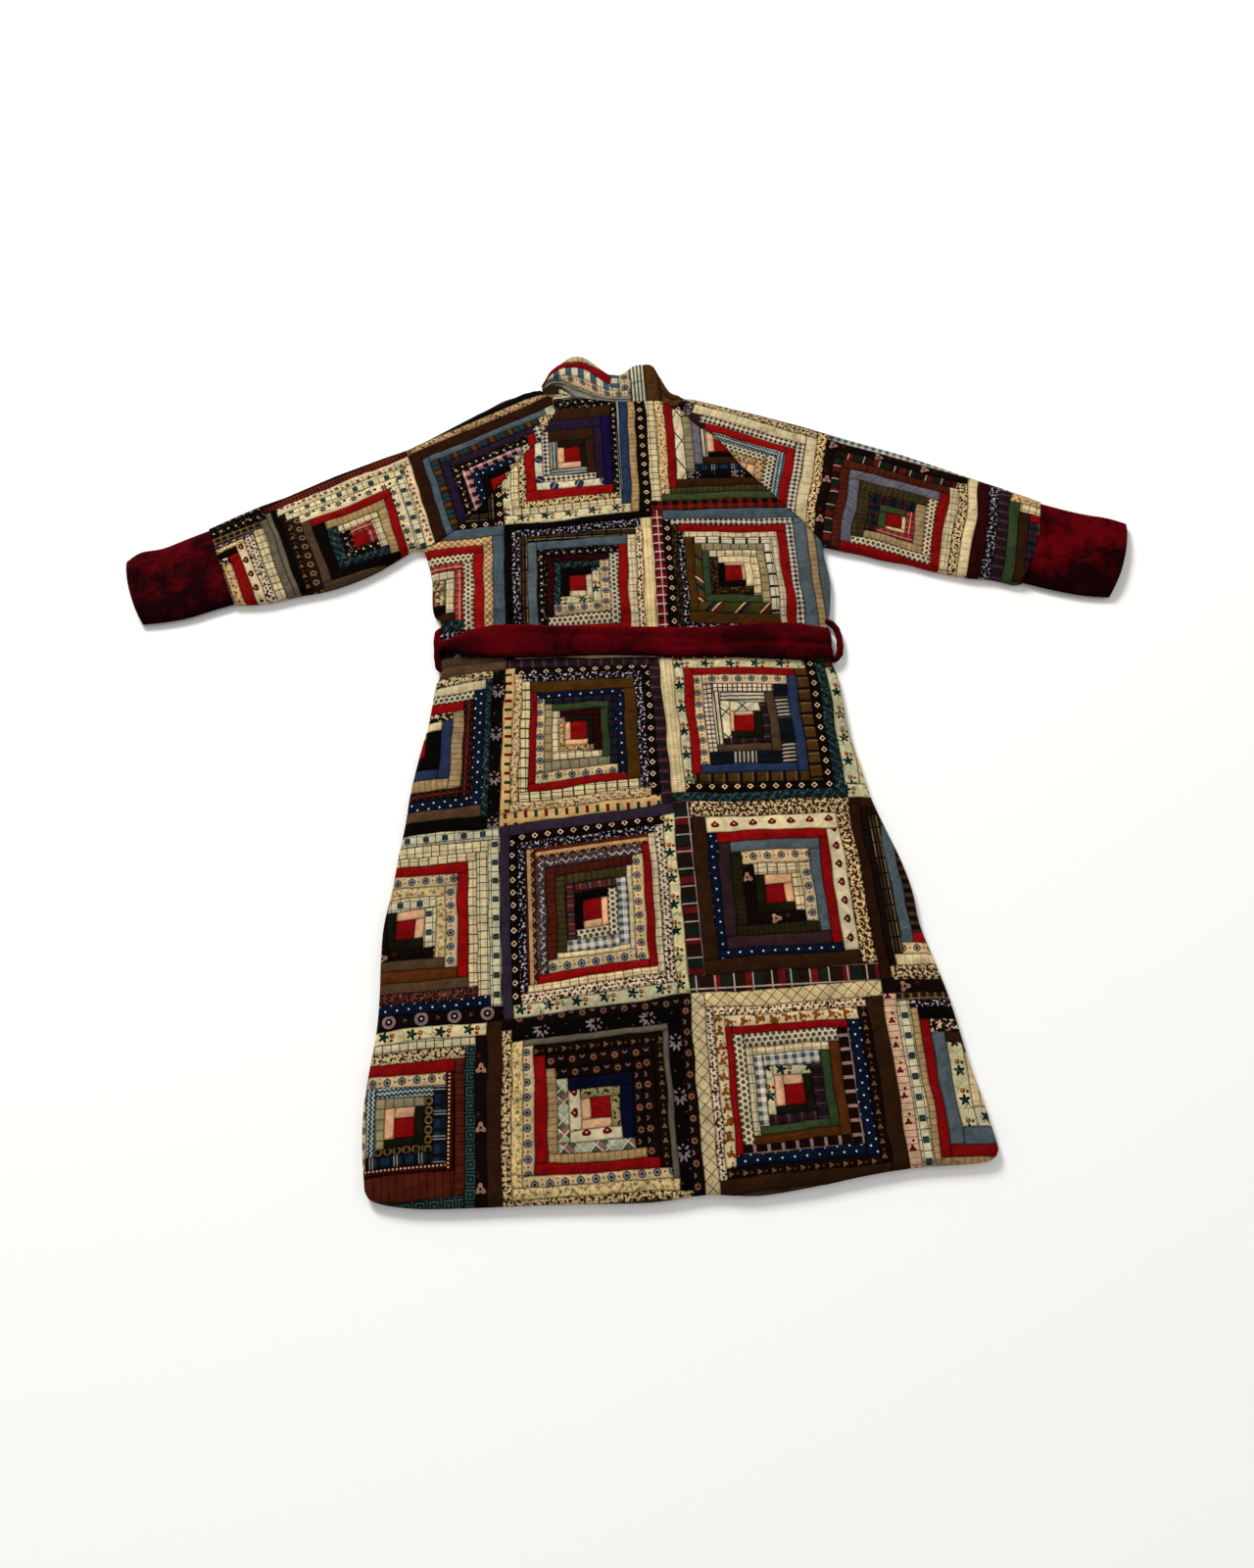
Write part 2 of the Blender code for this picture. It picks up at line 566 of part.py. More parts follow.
def hollow_cutter(side, cutters):
    """Flat hollow between a sleeve's two layers, from the armhole to the wrist."""
    inset = 9.0
    past = 12.0
    if side == "left":
        top, under = LEFT_SLEEVE_TOP, tuple(reversed(LEFT_SLEEVE_UNDER))
        seam = (LEFT_NECK_POINT,) + LEFT_RAGLAN + (LEFT_UNDERARM,)
        wrist = LEFT_SLEEVE_WRIST
        upper = offset_line(tuple(reversed(top)), -inset)[1:-1]
        lower = offset_line(under, -inset)[1:-1]
        arm = offset_line(seam, past)[2:-2]
        cuff = offset_line(wrist, -past)[1:-1]
        outline = arm + lower + list(reversed(cuff)) + upper
    else:
        top, under = RIGHT_SLEEVE_TOP, RIGHT_SLEEVE_UNDER
        seam = (RIGHT_UNDERARM,) + RIGHT_RAGLAN + (RIGHT_NECK_POINT,)
        arm = offset_line(seam, past)[2:-2]
        upper = offset_line(top, -inset)[1:-1]
        cuff = offset_line(RIGHT_SLEEVE_WRIST, past)[1:-1]
        lower = offset_line(under, -inset)[1:-1]
        outline = arm + upper + cuff + lower
    sheet = plain_sheet(outline)
    for vert in sheet.verts:
        vert.co.z = FRONT_WALL
    close_under(sheet, back_underside)
    made = add_object("hollow_cutter_" + side, sheet, cutters, "lining")
    made.hide_render = True
    made.display_type = "WIRE"
    return made


def build_sleeve(side, collection, cutters):
    """Sleeve laid flat: one tube, quilted above and plain on the surface."""
    seams = SLEEVE_SEAMS[side]
    blocks, strips = [], []
    for (high0, low0), (high1, low1), logs in zip(seams, seams[1:], SLEEVE_BLOCKS[side]):
        blocks.append(((low0, low1, high1, high0), *logs))
        up0 = (Vector(high0) - Vector(low0)).normalized() * OVER_TOP
        up1 = (Vector(high1) - Vector(low1)).normalized() * OVER_TOP
        strips.append((high0, high1, tuple(Vector(high1) + up1), tuple(Vector(high0) + up0)))
    sheet = patchwork(blocks, strips)
    trim(sheet, sleeve_outline(side))
    if side == "left":
        score(sheet, offset_line(LEFT_SLEEVE_TOP, EDGE_ROLL))
        score(sheet, offset_line(LEFT_SLEEVE_UNDER, EDGE_ROLL))
    else:
        score(sheet, offset_line(RIGHT_SLEEVE_TOP, -EDGE_ROLL))
        score(sheet, offset_line(RIGHT_SLEEVE_UNDER, -EDGE_ROLL))
    raise_top(sheet)
    close_under(sheet, lambda x, y: 0.0)
    sleeve = add_object("sleeve_" + side, sheet, collection, "patchwork")
    cut = sleeve.modifiers.new("flat hollow", "BOOLEAN")
    cut.operation = "DIFFERENCE"
    cut.object = hollow_cutter(side, cutters)
    return sleeve


def loft(rings_outer, rings_inner, closed_ends):
    """Skin between like rings, with an inner skin or plain caps at the ends."""
    made = bmesh.new()

    def skin(rings, flip):
        rows = [[made.verts.new(p) for p in ring] for ring in rings]
        for row, after in zip(rows, rows[1:]):
            for i in range(len(row)):
                j = (i + 1) % len(row)
                face = (row[i], row[j], after[j], after[i])
                made.faces.new(tuple(reversed(face)) if flip else face)
        return rows

    outer = skin(rings_outer, False)
    if closed_ends:
        made.faces.new(list(reversed(outer[0])))
        made.faces.new(outer[-1])
        return made
    inner = skin(rings_inner, True)
    for out_row, in_row in ((outer[0], inner[0]), (outer[-1], inner[-1])):
        for i in range(len(out_row)):
            j = (i + 1) % len(out_row)
            made.faces.new((out_row[i], out_row[j], in_row[j], in_row[i]))
    return made


# Flattened tube in section: place across from -1 to 1, height as a share of the edge's
# height and of the crown's height above it
TUBE_TOP = ((-1.0, 0.45, 0.0), (-0.97, 0.9, 0.0), (-0.86, 1.0, 0.42), (-0.6, 1.0, 0.8),
            (-0.25, 1.0, 0.98), (0.0, 1.0, 1.0), (0.25, 1.0, 0.98), (0.6, 1.0, 0.8),
            (0.86, 1.0, 0.42), (0.97, 0.9, 0.0), (1.0, 0.45, 0.0))
TUBE_FLOOR = (0.975, 0.6, 0.2, -0.2, -0.6, -0.975)


def flat_ring(lower, upper, bow, ahead, high, edge_high, wall):
    """Outer and inner ring of a laid tube between its lower and upper edge."""
    half = (Vector(upper) - Vector(lower)).length / 2
    inner_half = half - wall * 1.4

    def place(c, reach):
        return bowed(lower, upper, bow, c * reach / half, ahead)

    outer, inner = [], []
    for c, edge_share, crown_share in TUBE_TOP:
        z = edge_high * edge_share + (high - edge_high) * crown_share
        outer.append((*place(c, half), z))
        inner_z = wall + LAYER_GAP + max(0.0, high - 2 * wall - LAYER_GAP) * crown_share * 0.8
        inner.append((*place(c, inner_half), inner_z if abs(c) < 0.99 else wall + LAYER_GAP / 2))
    for c in TUBE_FLOOR:
        outer.append((*place(c, half), 0.0))
        inner.append((*place(c, inner_half), wall))
    return outer, inner


def build_cuff(side, collection):
    outer, inner = [], []
    for upper, lower, bow in CUFF_LINES[side]:
        first = (upper, lower, bow) == CUFF_LINES[side][0]
        last = (upper, lower, bow) == CUFF_LINES[side][-1]
        high = CUFF_HIGH * (0.97 if first else 0.86 if last else 1.03)
        ahead = 0.0 if not first else 0.8 if side == "right" else -0.8
        ring, hole = flat_ring(lower, upper, bow, ahead, high, 8.5, CUFF_WALL)
        outer.append(ring)
        inner.append(hole)
    return add_object("cuff_" + side, loft(outer, inner, False), collection, "velvet")


def build_collar(collection):
    """Stand collar laid flat past the neck: back half above, front half below."""
    columns = len(COLLAR_STATIONS)
    made = bmesh.new()

    def grid(height_of, reach=1.0):
        rows = []
        for kind, t in COLLAR_ROWS:
            row = []
            for i, (nx, ny, tx, ty, high) in enumerate(COLLAR_STATIONS):
                x, y = nx + (tx - nx) * t * reach, ny + (ty - ny) * t * reach
                row.append(made.verts.new((x, y, height_of(kind, t, i, high))))
            rows.append(row)
        return rows

    def roll(i):
        return step(min(i, columns - 1 - i) / 1.5)

    def top_z(kind, t, i, high):
        rise = COLLAR_SEAM_HIGH + (high - COLLAR_SEAM_HIGH) * step(t * 1.15)
        if kind == "rim":
            rise -= 4.0
        return 7.0 + (rise + (1.2 if kind == "mid" else 0.0) - 7.0) * roll(i)

    def underside(kind, t, i, high):
        return 0.0

    top, low = grid(top_z), grid(underside)
    for rows, flip in ((top, False), (low, True)):
        for row, above in zip(rows, rows[1:]):
            for i in range(columns - 1):
                face = (row[i], row[i + 1], above[i + 1], above[i])
                made.faces.new(tuple(reversed(face)) if flip else face)
    rim_top = top[0] + [r[-1] for r in top[1:-1]] + top[-1][::-1] + [r[0] for r in top[-2:0:-1]]
    rim_low = low[0] + [r[-1] for r in low[1:-1]] + low[-1][::-1] + [r[0] for r in low[-2:0:-1]]
    for k in range(len(rim_top)):
        n = (k + 1) % len(rim_top)
        made.faces.new((rim_top[n], rim_top[k], rim_low[k], rim_low[n]))
    return add_object("collar", made, collection, "patchwork")


def collar_slit(cutters):
    """Flat hollow between the collar's back and front halves, open at neck and rim."""
    edge = 6.0
    first, last = COLLAR_STATIONS[1], COLLAR_STATIONS[-2]
    low_line = [(s[0] + (edge if s is first else -edge if s is last else 0.0), s[1] - 8.0)
                for s in COLLAR_STATIONS[1:-1]]
    high_line = [(s[2] + (edge if s is first else -edge if s is last else 0.0), s[3] + 8.0)
                 for s in COLLAR_STATIONS[1:-1]]
    slit = bmesh.new()
    columns = len(low_line)
    levels = []
    for z in (COLLAR_WALL, COLLAR_WALL + LAYER_GAP):
        row = [slit.verts.new((x, y, z)) for x, y in low_line]
        back = [slit.verts.new((x, y, z + (2.2 if z > COLLAR_WALL else 0.0))) for x, y in high_line]
        levels.append(row + back[::-1])
        for i in range(columns - 1):
            face = (row[i], row[i + 1], back[i + 1], back[i])
            slit.faces.new(face if z > COLLAR_WALL else tuple(reversed(face)))
    for k in range(2 * columns):
        n = (k + 1) % (2 * columns)
        slit.faces.new((levels[0][k], levels[0][n], levels[1][n], levels[1][k]))
    made = add_object("collar_slit", slit, cutters, "lining")
    made.hide_render = True
    made.display_type = "WIRE"
    return made


# Belt in section: share of half the width and share of the thickness, all round
STRAP_SECTION = ((-1.0, 0.5), (-0.9, 0.92), (-0.45, 1.0), (0.0, 0.9), (0.45, 1.0), (0.9, 0.92),
                 (1.0, 0.5), (0.92, 0.0), (0.0, 0.0), (-0.92, 0.0))


def strap_ring(x, z, tilt, middle_y, wide, thick, puff_share=1.0):
    """Ring of the belt at one place of its route; tilt 0 faces up and 180 down."""
    turn = math.radians(tilt)
    nx, nz = math.sin(turn), math.cos(turn)
    ring = []
    for across, out in STRAP_SECTION:
        lift = thick * (out if out < 0.95 else 1.0 - (1.0 - out) * puff_share)
        ring.append((x + nx * lift, middle_y + across * wide / 2, z + nz * lift))
    return ring


def build_belt(collection):
    """Velvet belt round the waist: over the back, round both sides and under the fronts."""
    pressed = FRONT_WALL + LAYER_GAP + BELT_PRESS + 0.3
    rest = BELT_UNDER
    rings = []
    left_x, right_x = LEFT_SIDE[5][0], RIGHT_SIDE[14][0]
    centre_ends = ((-BELT_ENDS_GAP / 2, 1), (BELT_ENDS_GAP / 2, -1))
    under_y = [belt_under_line(centre_ends[0][0]), belt_under_line(left_x / 2),
               belt_under_line(left_x + 12)]
    for x, y in zip((centre_ends[0][0], left_x / 2, left_x + 12), under_y):
        rings.append(strap_ring(x, rest, 180, y, BELT_UNDER_WIDE, BELT_UNDER, 0.0))
    first, last = BELT_STATIONS[0], BELT_STATIONS[-1]
    for side_x, station, sign in ((left_x, first, -1), (right_x, last, 1)):
        turn_rings = []
        middle = (station[1] + station[2]) / 2
        wide = station[1] - station[2]
        for tilt, past, high in BELT_ROUND:
            share = (180 - tilt) / 180
            thick = BELT_TURN + (BELT_THICK - BELT_TURN) * max(0.0, 1 - tilt / 40)
            centre = middle * share + belt_under_line(side_x) * (1 - share)
            width = wide * share + BELT_UNDER_WIDE * (1 - share)
            thick = min(thick, BELT_UNDER) if tilt > 150 else thick
            turn_rings.append(strap_ring(side_x + sign * past, rest + (pressed - rest) * high,
                                         sign * tilt, centre, width, thick))
        if sign < 0:
            rings += reversed(turn_rings)
            for x, upper, lower in BELT_STATIONS[1:-1]:
                rings.append(strap_ring(x, pressed, 0, (upper + lower) / 2, upper - lower,
                                        BELT_THICK))
        else:
            rings += turn_rings
    for x in (right_x - 12, right_x / 2, centre_ends[1][0]):
        rings.append(strap_ring(x, rest, 180, belt_under_line(x), BELT_UNDER_WIDE, BELT_UNDER, 0.0))
    return add_object("belt", loft(rings, None, True), collection, "velvet")


def build_loop(name, route, collection):
    """Narrow velvet loop at a side seam, sewn above and below the belt."""
    curve = bpy.data.curves.new(name, "CURVE")
    curve.dimensions = "3D"
    curve.bevel_depth = LOOP_RADIUS * MM
    curve.bevel_resolution = 2
    curve.use_fill_caps = True
    line = curve.splines.new("POLY")
    line.points.add(len(route) - 1)
    for point, (x, y) in zip(line.points, route):
        point.co = (x * MM, y * MM, LOOP_HEIGHT * MM, 1.0)
    made = bpy.data.objects.new(name, curve)
    curve.materials.append(material("velvet", 0.9))
    collection.objects.link(made)
    return made


def main():
    for old in list(bpy.data.objects):
        bpy.data.objects.remove(old, do_unlink=True)
    coat = bpy.data.collections.new("quilted_coat")
    cutters = bpy.data.collections.new("cutters")
    bpy.context.scene.collection.children.link(coat)
    bpy.context.scene.collection.children.link(cutters)

    channel = channel_cutter(cutters)
    build_back(coat)
    build_fronts(coat, channel)
    for side in ("left", "right"):
        build_sleeve(side, coat, cutters)
        build_cuff(side, coat)
    collar = build_collar(coat)
    cut = collar.modifiers.new("flat hollow", "BOOLEAN")
    cut.operation = "DIFFERENCE"
    cut.object = collar_slit(cutters)
    build_belt(coat)
    for name, route in LOOP_ROUTES.items():
        build_loop(name, route, coat)

    plan = [p for line in OPEN_EDGES for p in line]
    plan += [line[k] for lines in CUFF_LINES.values() for line in lines for k in (0, 1)]
    plan += [(s[2], s[3]) for s in COLLAR_STATIONS]
    middle_x = (min(p[0] for p in plan) + max(p[0] for p in plan)) / 2
    middle_y = (min(p[1] for p in plan) + max(p[1] for p in plan)) / 2
    for made in list(coat.objects) + list(cutters.objects):
        made.location = (-middle_x * MM, -middle_y * MM, 0.0)


main()
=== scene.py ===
"""Quilted coat of log cabin patchwork, laid out with its back up.

Places in the tables are millimetres in the plane of the coat, from the crossing
of the centre back line and the seam under the third row of blocks: x to the
right as the back is seen, y to the neck. Heights are from the surface it lies on.
"""
import math

import bpy
import numpy as np
from mathutils import Matrix, Vector


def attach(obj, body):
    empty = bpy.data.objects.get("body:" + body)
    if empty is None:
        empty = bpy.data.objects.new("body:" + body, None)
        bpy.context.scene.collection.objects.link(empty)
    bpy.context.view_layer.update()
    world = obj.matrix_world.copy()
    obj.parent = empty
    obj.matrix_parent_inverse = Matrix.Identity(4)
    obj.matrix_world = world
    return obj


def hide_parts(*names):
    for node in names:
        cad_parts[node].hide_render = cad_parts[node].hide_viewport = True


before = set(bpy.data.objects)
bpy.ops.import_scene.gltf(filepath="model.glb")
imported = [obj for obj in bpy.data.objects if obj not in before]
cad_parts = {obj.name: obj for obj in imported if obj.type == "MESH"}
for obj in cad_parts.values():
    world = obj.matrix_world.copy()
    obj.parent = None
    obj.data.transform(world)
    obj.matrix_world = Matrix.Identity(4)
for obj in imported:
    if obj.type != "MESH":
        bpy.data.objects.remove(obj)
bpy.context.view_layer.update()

bl_info = {
    "name": "Quilted coat",
    "version": (1, 0, 0),
    "blender": (4, 5, 0),
    "location": "View3D > Sidebar > Coat",
    "description": "Builds a log cabin patchwork coat with velvet cuffs, belt and loops",
    "category": "Add Mesh",
}

MM = 0.001
TO_ROW = np.array((28.0, -340.5))      # from the tables' crossing to the row's origin

# Cloth lying on the surface, in millimetres
FRONT_TOP = 6.0         # upper face of the two fronts
UPPER_LOW = 6.4         # lower face of the back and of the sleeves' upper half
WALL = 5.5              # padded wall at its seams
LOFT = 3.4              # how far the back stands off the fronts in the middle
LOFT_REACH = 42.0       # distance from an open edge over which it rises
EDGE_DROP = 4.4         # how far the top comes down over a rolled edge
EDGE_LEAST = 2.2        # what is left of the wall there, and how far the lower half turns up
CENTRE_PATCH = 22.0     # red patch in the middle of a block
PUFF_REACH = 4.5        # a log is full this far from its seams
BODY_SPAN = (-290, 224)  # from side to side of the coat at the belt
THREAD = 1.1            # spacing of the cottons' threads as they are drawn

# Where a log is divided across, as shares: the half that shows, and the half below
UPPER_STEPS = (0.0, 0.16, 0.5, 0.84)
LOWER_STEPS = (0.0, 0.5)

# Lattice of the back: where the block seams cross, row by row from the hem
LATTICE = (
    ((-418, -217), (-213, -213), (-2, -215), (213, -207), (418, -211)),
    ((-412, -20), (-207, -16), (-1, -1), (210, -1), (415, -5)),
    ((-409, 206), (-204, 210), (0, 226), (204, 219), (409, 215)),
    ((-394, 416), (-189, 435), (-1, 424), (202, 406), (407, 402)),
    ((-391, 624), (-186, 628), (6, 638), (200, 629), (405, 625)),
    ((-395, 831), (-190, 835), (12, 845), (200, 838), (405, 834)),
)

# Blocks of the back by row from the hem and column: the order its logs were sewn
# in, the first two sides' logs, the other two sides' logs and any side that differs.
# A log is the name of its cloth and its width in mm, from the middle outwards.
BACK_BLOCKS = {
    (0, 0): ("TLBR", "rose:12 moss_beige:12 blue_knit:12 medallion:14 red:14 brown_print:13"
             " grid_cream:12 teal_sprig:16",
             "dark_green:10 gold_chain:8 navy_plaid:14 maroon_chain:9 russet:11 greek_key:11"
             " pink_floral:12 brown:16",
             {"B": "dark_green:10 gold_chain:8 navy_plaid:14 maroon_chain:9 russet:30 greek_key:19"}),
    (0, 1): ("LBRT", "rose:10 diamond_flower:13 diagonal_plaid:13 tan:11 red:13 medallion:12"
             " pale_floral:12 brown_print:10",
             "green_floral:10 navy:14 black_circles:11 black_circles:14 charcoal_sprig:12 grey:7"
             " black_leaf:14 black_circles:12", {}),
    (0, 2): ("TLBR", "rose:10 teal_sprig:9 sky_check:12 cream_stripe:8 dotted_cream:13 red:8"
             " orange_sprig:12 berry_vine:9 lattice_cream:16",
             "dark_green:9 purple_plaid:11 green:10 rust:11 mauve_bars:12 navy_dots:13"
             " charcoal_sprig:11 brown:17", {}),
    (0, 3): ("BLTR", "rose:10 cream:10 teal_sprig:18 faded_blue:15 red:11 tan:8 blue_squares:14"
             " pink_berry:14",
             "black:10 green:10 brown:10 white_floral:14 black:13 navy_floral:9 windowpane:9"
             " pink_floral:14", {"B": "rose:12 cream:13 teal_sprig:20 faded_blue:17 red:12 tan:14"}),
    (1, 0): ("RTLB", "rose:10 blue_squares:13 pale_floral:11 medallion:13 red:12 green_stripe:10"
             " grid_cream:13 blue_squares:13",
             "dark_green:11 pink_floral:12 taupe:11 rust:13 taupe:12 maroon_print:11 navy_dots:11"
             " mauve_circles:15", {}),
    (1, 1): ("BRTL", "rose:8 dotted_cream:11 sky_check:12 cream:6 medallion:13 red:9 cream_stripe:8"
             " berry_vine:11 teal_sprig:13",
             "black:9 red_plaid:11 olive:11 russet:11 braid:12 zigzag:12 navy_floral:9"
             " black_diamonds:9 slate:12", {}),
    (1, 2): ("RTLB", "rose:10 green_stripe:11 medallion:13 faded_blue:11 red:11 diamond_flower:16"
             " brown_geometric:16",
             "dark_green:11 pink_floral:12 dark_olive:12 plum:14 navy_dots:10 brown:17"
             " window_plaid:19", {}),
    (1, 3): ("BRTL", "rose:10 dotted_cream:10 tan:12 blue_squares:12 red:12 medallion:13 cream:12"
             " brown_geometric:16",
             "black:11 green:12 plum:12 stripe_check:14 faded_blue:14 brown_stripe:12 charcoal:9"
             " chocolate:13", {}),
    (2, 0): ("TLBR", "rose:8 cream:10 white_floral:10 red:13 dotted_cream:10 cream:11 squiggle:11"
             " taupe:14",
             "black:17 blue:12 tan:14 maroon_plaid:12 navy_dots:13 teal_print:8 black_leaf:14",
             {"B": "black:17 blue:11 tan:13 maroon_plaid:11 navy_dots:12 taupe:13 black:14"}),
    (2, 1): ("LBRT", "rose:7 paisley:7 grid_cream:9 moss_beige:10 medallion:10 red:8 green_check:11"
             " tan_print:10 tan_bars:12",
             "dark_green:7 maroon:10 green:10 tartan:9 navy_dots:10 ochre:16 navy_floral:11"
             " black_diamonds:11 purple_plaid:14", {}),
    (2, 2): ("TLBR", "rose:5 trellis:11 pencil_stripe:9 red_grid:11 medallion:11 red:11"
             " teal_sprig:11 slub:17",
             "dark_green:9 purple_plaid:8 taupe:10 navy_stripes:15 blue:11 brown_window:14"
             " black_diamonds:11 teal_print:12",
             {"T": "rose:6 trellis:13 pencil_stripe:14 red_grid:12 medallion:14 red:13"
                   " teal_sprig:14"}),
    (2, 3): ("LBRT", "rose:10 cream:10 red:12 tan:12 medallion:12 dotted_cream:12 cream:14"
             " teal_sprig:20", "black:12 green:12 navy:12 brown:12 maroon:12 taupe:12 blue:12"
             " russet:14", {}),
    (3, 0): ("RTLB", "rust_floral:14 cream_stripe:10 pink_plaid:10 dotted_cream:13 red:11"
             " tan_lattice:11 faded_blue:14",
             "black:12 brown:12 teal_print:12 navy_floral:12 maroon:12 black_leaf:12 taupe:12", {}),
    (3, 1): ("BRTL", "cream:8 teal_sprig:10 medallion:12 dotted_cream:12 red:11 cream_stripe:11"
             " berry_vine:8 slub:14",
             "black:11 teal_print:9 maroon:9 white_dots:13 faded_blue:13 brown_stripe:10"
             " navy_floral:11 black:10", {}),
    (3, 2): ("RTLB", "rose:4 cream:10 green_stripe:10 moss_beige:11 black_bars:11 cream_stripe:9"
             " red:12 check_black:10 faded_blue:16",
             "black:8 brown_marks:11 green:10 diagonal_stripe:11 ochre:12 navy_floral:8"
             " brown_marks:10 black_diamonds:12 red_lines:15", {}),
    (3, 3): ("LBRT", "rose:10 cream:10 red:12 medallion:12 dotted_cream:12 faded_blue:24 tan:10",
             "black:12 green:12 navy:12 brown:12 maroon:12 taupe:12 faded_blue:20", {}),
    (4, 0): ("TLBR", "rose:10 cream:12 medallion:12 red:12 dotted_cream:12 tan:12 cream:14",
             "russet:10 brown:10 black:11 white_dots:9 brown:9 grey:4 black:11 brown_stripe:9"
             " black_diamonds:10", {}),
    (4, 1): ("LBRT", "rose:10 blue_stripe:11 check_black:10 blue_moons:11 red:14 brown_print:10"
             " green_stripe:11 teal_sprig:14",
             "dark_green:8 brown:12 purple:11 violet:11 white_dots:8 blue_stripe:4 blue:11 tan:10"
             " black_diamonds:16",
             {"T": "dark_green:8 brown:14 purple:14 brown:14 white_dots:13 pencil_stripe:9"}),
    (4, 2): ("TLBR", "rose:10 pencil_stripe:8 mauve:12 moss_beige:12 diagonal_green:13 red:12"
             " tan_print:13 grid_cream:14",
             "black:8 brown:11 navy_plaid:11 black_leaf:11 brown:12 olive:10 green:11"
             " red_check:15", {}),
}

# How far a centre patch stands from where its logs alone would put it: right and up, in mm
LEANS = {
    (4, 1): (-3, -10), (3, 1): (-3.5, 4), (3, 2): (-2.5, 8.5), (2, 1): (0.5, 12.5), (2, 2): (-5, 3),
    (1, 0): (-5, -0.5), (1, 1): (-1, 1), (1, 2): (-0.5, -6), (0, 0): (-7, -0.5), (0, 1): (1, -6.5),
    (0, 2): (-5, -10),
}

# The same for the sleeve blocks, from the neck end
SLEEVE_LEANS = {"left": ((0, 0), (12, 1), (0, 0)), "right": ((0, 0), (0, -5), (0, 0))}

# Sleeve blocks from the neck end to the wrist: corners low left, low right, high
# right and high left, then their logs as above. The last column is the cloth of
# the neighbouring blocks that rolls over the sleeve's upper edge, in mm.
SLEEVE_BLOCKS = {
    "left": (
        (((-264, 562), (-69, 637), (-117.8, 836.1), (-309.8, 751.1)), "BRTL",
         "rose:10 cream_stripe:10 medallion:12 dotted_cream:11 red:12 check_black:11"
         " brown_print:12 teal_sprig:15",
         "black:10 navy_dots:12 mauve_check:10 white_dots:12 purple:11 harvest_plaid:12"
         " faded_blue:10 chocolate:17", "paisley:34"),
        (((-441, 512), (-264, 562), (-309.8, 751.1), (-496, 671.3)), "RTLB",
         "pink_plaid:14 grid_cream:13 tan:14 red:13 black_flowers:15 blue_squares:15"
         " orange_flowers:14",
         "white_dots:13 teal_print:13 black:14 taupe:11 scallop:13 charcoal_sprig:9 black:7 grey:7",
         "brick_check:34"),
        (((-631, 440), (-441, 512), (-498, 677), (-688, 600)), "BRTL",
         "sky_check:7 tan:11 tan_floral:11 red:13 diamond_flower:11 berry_vine:13 green_stripe:13"
         " grey:10",
         "green:10 russet:12 white_floral:12 black:11 tan_print:8 braid:6 windowpane:14"
         " white_dots:15", "white_dots:34"),
    ),
    "right": (
        (((7, 638), (200, 547), (250, 743), (57, 830)), "TRBL",
         "rose:10 paisley:12 dotted_cream:13 blue_knit:11 red:12 check_black:12 cream:15"
         " brown_print:12",
         "black:11 brown:10 green:11 navy_dots:11 brown:9 plum:12 braid:12 black_diamonds:11",
         "black:34"),
        (((200, 547), (385, 470), (438.5, 653.4), (247.8, 734.3)), "RBLT",
         "cream:6 pink_plaid:13 tan:14 dotted_cream:13 red:13 cream_stripe:13 brown_print:13"
         " cream:14",
         "green:11 tartan:15 olive:16 mauve:15 russet:13 window_plaid:12 pink_floral:13",
         "sky_check:34"),
        (((385, 470), (579, 390), (632, 583), (441, 662)), "TRBL",
         "rose:10 orange_flowers:16 red:9 grid_cream:11 tan_floral:11 teal_sprig:12",
         "russet:11 tartan:10 brown:11 green:11 purple_plaid:12 navy_floral:10 maroon:13",
         "black:34"),
    ),
}

OVER_LOG = 11.0         # the first log of that strip; the next is black

# Outlines, point by point in the direction that their names say
HEM = ((-356, -184), (-346, -196), (-305, -205), (-254, -208), (-190, -210), (-135, -212),
       (-59, -216), (0, -212), (52, -217), (111, -212), (171, -204), (222, -200),
       (281, -200), (302, -197), (309, -187))
RIGHT_SIDE = ((302, -140), (294, -98), (289, -58), (283, -18), (274, 22), (265, 62),
              (263, 102), (255, 142), (243, 182), (232, 222), (226, 262), (219, 302),
              (217, 342), (215, 382), (211, 402), (211, 452), (217, 470), (222, 500),
              (224, 520), (221, 556))
RIGHT_UNDERARM = (222, 574)
RIGHT_RAGLAN = ((199, 608), (177, 635), (159, 660), (143, 682), (128, 701), (112, 730),
                (95, 755), (80, 769), (70, 780), (60, 797))
RIGHT_NECK_POINT = (49, 806)
BACK_NECK = ((38, 811), (28, 817), (-6, 817), (-38, 820), (-72, 828), (-87, 832), (-100, 838))
LEFT_NECK_POINT = (-116, 838)
LEFT_RAGLAN = ((-110, 812), (-125, 781), (-138, 758), (-161, 734), (-193, 688), (-235, 641),
               (-259, 620), (-276, 608))
LEFT_UNDERARM = (-291, 605)
LEFT_SIDE = ((-285, 583), (-280, 554), (-280, 522), (-278, 506), (-270, 494), (-270, 425),
             (-277, 402), (-285, 356), (-291, 333), (-299, 302), (-308, 262), (-314, 222),
             (-322, 182), (-329, 142), (-338, 102), (-341, 62), (-342, 22), (-345, -18),
             (-352, -58), (-358, -100), (-359, -140))
LEFT_SLEEVE_TOP = ((-135, 852), (-159, 844), (-180, 838), (-201, 826), (-231, 807),
                   (-278, 781), (-310, 764), (-378, 741), (-420, 722), (-463, 702),
                   (-510, 685), (-545, 668))
LEFT_SLEEVE_UNDER = ((-490, 541), (-450, 549), (-420, 553), (-390, 561), (-356, 575),
                     (-329, 591), (-303, 607))
RIGHT_SLEEVE_TOP = ((70, 820), (100, 809), (123, 801), (172, 782), (217, 763), (262, 742),
                    (308, 722), (353, 702), (391, 682), (426, 663), (470, 641))
